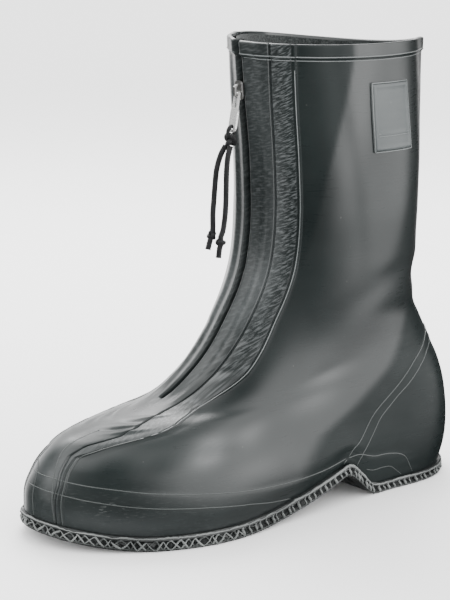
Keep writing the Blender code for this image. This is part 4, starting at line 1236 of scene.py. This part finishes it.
def roundedBlock(name, size, bevel, material):
    made = bmesh.new()
    bmesh.ops.create_cube(made, size=1.0, matrix=Matrix.Diagonal((*size, 1)))
    bmesh.ops.bevel(made, geom=made.edges[:], offset=bevel, segments=2, profile=0.6, affect="EDGES")
    data = bpy.data.meshes.new(name)
    made.to_mesh(data)
    made.free()
    return linkMesh(name, data, material)


def makeTeeth():
    item = roundedBlock("toothItem", zipSizes["tooth"], zipSizes["toothBevel"], toothMetal)
    rows = []
    deep = -(boot["wall"] + zipSizes["belowWall"])
    pitch = zipSizes["pitch"]
    for side in (1, -1):
        aside = np.array([side * zipSizes["halfStep"], 0, 0])
        numbers = np.linspace(*zipSizes["chain"], 160)
        path = np.array([skin(number, 0.0, deep)[0] + aside for number in numbers])
        ahead = (path[1] - path[0]) / np.linalg.norm(path[1] - path[0])
        shift = ahead * pitch * (0.25 if side > 0 else 0.75)
        rows.append(repeatAlong("teeth", path + shift, item, pitch, toothMetal, "Z", "X"))
        openPath = []
        for number in np.linspace(*zipSizes["open"], 40):
            d = side * zipSizes["apart"] % ring(number).length
            openPath.append(skin(number, d, deep + zipSizes["rise"])[0])
        rows.append(repeatAlong("teeth", openPath, item, pitch, toothMetal, "Z", "X"))
    bpy.data.objects.remove(item, do_unlink=True)
    return joinMeshes("zipTeeth", rows)


zipTeeth = makeTeeth()
zipTeeth.data.polygons.foreach_set("use_smooth", [False] * len(zipTeeth.data.polygons))
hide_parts("zip_chain")
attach(zipTeeth, "boot")


def dress(name, material, bevel=0.0):
    node = frame["nodes"][name]
    node.data.materials.clear()
    node.data.materials.append(material)
    if bevel:
        edge = node.modifiers.new("edges", "BEVEL")
        edge.width, edge.segments = bevel, 3
        edge.angle_limit = math.radians(40)
        edge.harden_normals = False


dress("zip_slider", sliderMetal, 0.00018)
dress("zip_pull", pullMetal, 0.00022)
dress("zip_tape_outer", tapeCloth)
dress("zip_tape_inner", tapeCloth)
dress("outsole", soleRubber)
dress("insole", insoleCloth)
print("zip and label made")

# the cord: a knot on the pull and two braided tails, their points from the hinge

cords = {
    "diameter": 0.0030,
    "loopRadius": 0.00115,
    "knot": 0.0044,
    "knotTurn": 0.4,
    "knotSpread": 1.22,
    "endKnot": 0.0033,
    "endTurn": {"inner": 1.2, "outer": 2.3},
    "endFrom": 26,
    "plaitStep": 0.00035,
    "knotPlace": (0.0, -0.0044, -0.0265),
    "loop": (
        (0.0, -0.0062, -0.0250), (0.0, -0.0064, -0.0215), (0.0, -0.0050, -0.0192), (0.0, -0.0030, -0.0188),
        (0.0, -0.0012, -0.0200), (0.0, -0.0016, -0.0225), (0.0, -0.0036, -0.0250),
    ),
    "inner": (
        (-0.0019, -0.0063, -0.0299), (-0.0028, -0.0092, -0.0355), (-0.0030, -0.0116, -0.0430),
        (-0.0030, -0.0126, -0.0510), (-0.0030, -0.0132, -0.0600), (-0.0030, -0.0138, -0.0690),
        (-0.0030, -0.0136, -0.0780), (-0.0031, -0.0142, -0.0815), (-0.0032, -0.0154, -0.0850),
        (-0.0033, -0.0162, -0.0880), (-0.0033, -0.0168, -0.0900),
    ),
    "outer": (
        (0.0019, -0.0060, -0.0300), (0.0030, -0.0086, -0.0360), (0.0034, -0.0096, -0.0440),
        (0.0034, -0.0096, -0.0530), (0.0034, -0.0096, -0.0620), (0.0034, -0.0100, -0.0700),
        (0.0034, -0.0112, -0.0780), (0.0034, -0.0128, -0.0820), (0.0034, -0.0128, -0.0860),
        (0.0034, -0.0136, -0.0890), (0.0034, -0.0142, -0.0940),
    ),
}
hinge = np.array(frame["joints"][0]["pos_m"])


def smoothPath(points, step):
    pts = np.asarray(points, float)
    place = np.linspace(0, len(pts) - 1, 400)
    fine = np.stack([throughRows(pts[:, k], place) for k in range(3)], -1)
    run = np.concatenate([[0], np.cumsum(np.linalg.norm(np.diff(fine, axis=0), axis=1))])
    at = np.linspace(0, run[-1], int(run[-1] / step) + 1)
    return np.stack([np.interp(at, run, fine[:, k]) for k in range(3)], -1), float(run[-1])


def braided(name, points, radius, sides=20):
    # a cord whose surface is a plait of strands
    obj = tube(name, points, radius, cordCloth, sides)
    centres = np.asarray(points, float)
    for v in obj.data.vertices:
        i, k = divmod(v.index, sides)
        turn, along = 2 * math.pi * k / sides, i * cords["plaitStep"]
        weave = abs(math.sin(2 * turn + along * 1900)) + abs(math.sin(2 * turn - along * 1900))
        centre = Vector(centres[i])
        v.co = centre + (v.co - centre) * (0.97 + 0.09 * weave)
    return obj


def makeKnot(name, centre, size, turn, spread=1.0):
    # a trefoil of cord pulled tight
    t = np.linspace(0, 2 * math.pi, 121)
    flat = (np.sin(t) + 2 * np.sin(2 * t), np.cos(t) - 2 * np.cos(2 * t))
    loop = np.stack([*flat, -1.6 * np.sin(3 * t)], -1)
    loop = loop * size * 0.205
    spin = np.array(Matrix.Rotation(turn, 3, "Y") @ Matrix.Rotation(1.1, 3, "X"))
    return tube(name, (loop @ spin.T) * (spread, 1, spread) + centre, size * 0.34, cordCloth, 12)


def makeCord():
    centre = hinge + np.array(cords["knotPlace"])
    ball = makeKnot("cordKnot", centre, cords["knot"], cords["knotTurn"], cords["knotSpread"])
    loop = smoothPath(hinge + np.array(cords["loop"]), 0.0005)[0]
    knot = joinMeshes("cordKnot", [ball, tube("cordLoop", loop, cords["loopRadius"], cordCloth, 12)])
    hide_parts("pull_knot")
    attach(knot, "pull")
    for side in ("inner", "outer"):
        path, length = smoothPath(hinge + np.array(cords[side]), cords["plaitStep"])
        tail = braided("cordTail_" + side, path, cords["diameter"] / 2)
        end = makeKnot("cordEnd_" + side, path[-cords["endFrom"]], cords["endKnot"], cords["endTurn"][side])
        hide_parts("cord_tail_" + side)
        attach(tail, "pull")
        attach(end, "pull")


makeCord()
print("cord made")

# floor and light

studio = {
    "daylight": 3.0,
    "darkSide": 0.045,
    "rightCard": (125, 23, 3.4, 0.50, 0.85),
    "leftCard": (-112, 8, 3.2, 0.72, 0.94),
    "frontCard": (-18, 12, 1.7, 0.86, 0.98),
    "overhead": (-34, 72, 3.6, 0.74, 0.95),
    "lamp": (24, 0.8, (-0.75, 0.30, 1.15)),
    "lampAim": (0, -0.1, 0.12),
    "floorHalf": 6.0,
    "floorColour": (0.95, 0.95, 0.95, 1),
}


def makeStudio():
    # soft daylight, with pale cards round the boot for the rubber to mirror
    world = bpy.data.worlds.new("paleRoom")
    bpy.context.scene.world = world
    world.use_nodes = True
    tree = world.node_tree
    room = tree.nodes["Background"]
    room.inputs["Color"].default_value = (1, 1, 1, 1)
    room.inputs["Strength"].default_value = studio["daylight"]
    where = addNode(tree, "ShaderNodeTexCoord").outputs["Generated"]
    total = studio["darkSide"]
    for key in ("rightCard", "leftCard", "frontCard", "overhead"):
        turn, rise, strength, low, high = studio[key]
        turn, rise = math.radians(turn), math.radians(rise)
        toward = (math.sin(turn) * math.cos(rise), -math.cos(turn) * math.cos(rise), math.sin(rise))
        facing = addNode(tree, "ShaderNodeVectorMath", {1: toward}, operation="DOT_PRODUCT")
        tree.links.new(where, facing.inputs[0])
        ends = {"From Min": low, "From Max": high, "To Max": strength}
        card = addNode(tree, "ShaderNodeMapRange", ends, interpolation_type="SMOOTHSTEP")
        tree.links.new(facing.outputs["Value"], card.inputs["Value"])
        total = plus(tree, card.outputs[0], total)
    cards = addNode(tree, "ShaderNodeBackground", {"Color": (1, 1, 1, 1)})
    tree.links.new(total, cards.inputs["Strength"])
    rays, mix = addNode(tree, "ShaderNodeLightPath"), addNode(tree, "ShaderNodeMixShader")
    tree.links.new(rays.outputs["Is Glossy Ray"], mix.inputs[0])
    tree.links.new(room.outputs[0], mix.inputs[1])
    tree.links.new(cards.outputs[0], mix.inputs[2])
    tree.links.new(mix.outputs[0], tree.nodes["World Output"].inputs["Surface"])
    power, size, place = studio["lamp"]
    data = bpy.data.lights.new("lamp", "AREA")
    data.energy, data.size = power, size
    lamp = bpy.data.objects.new("lamp", data)
    bpy.context.scene.collection.objects.link(lamp)
    lamp.location = place
    lamp.rotation_euler = (Vector(studio["lampAim"]) - Vector(place)).to_track_quat("-Z", "Y").to_euler()
    half = studio["floorHalf"]
    corners = [(-half, -half, 0), (half, -half, 0), (half, half, 0), (-half, half, 0)]
    finish = newMaterial("paleFloor", {"Base Color": studio["floorColour"], "Roughness": 0.85})[0]
    floor = meshFrom("floor", corners, [(0, 1, 2, 3)], finish)
    floor.visible_glossy = False


makeStudio()

print("done")
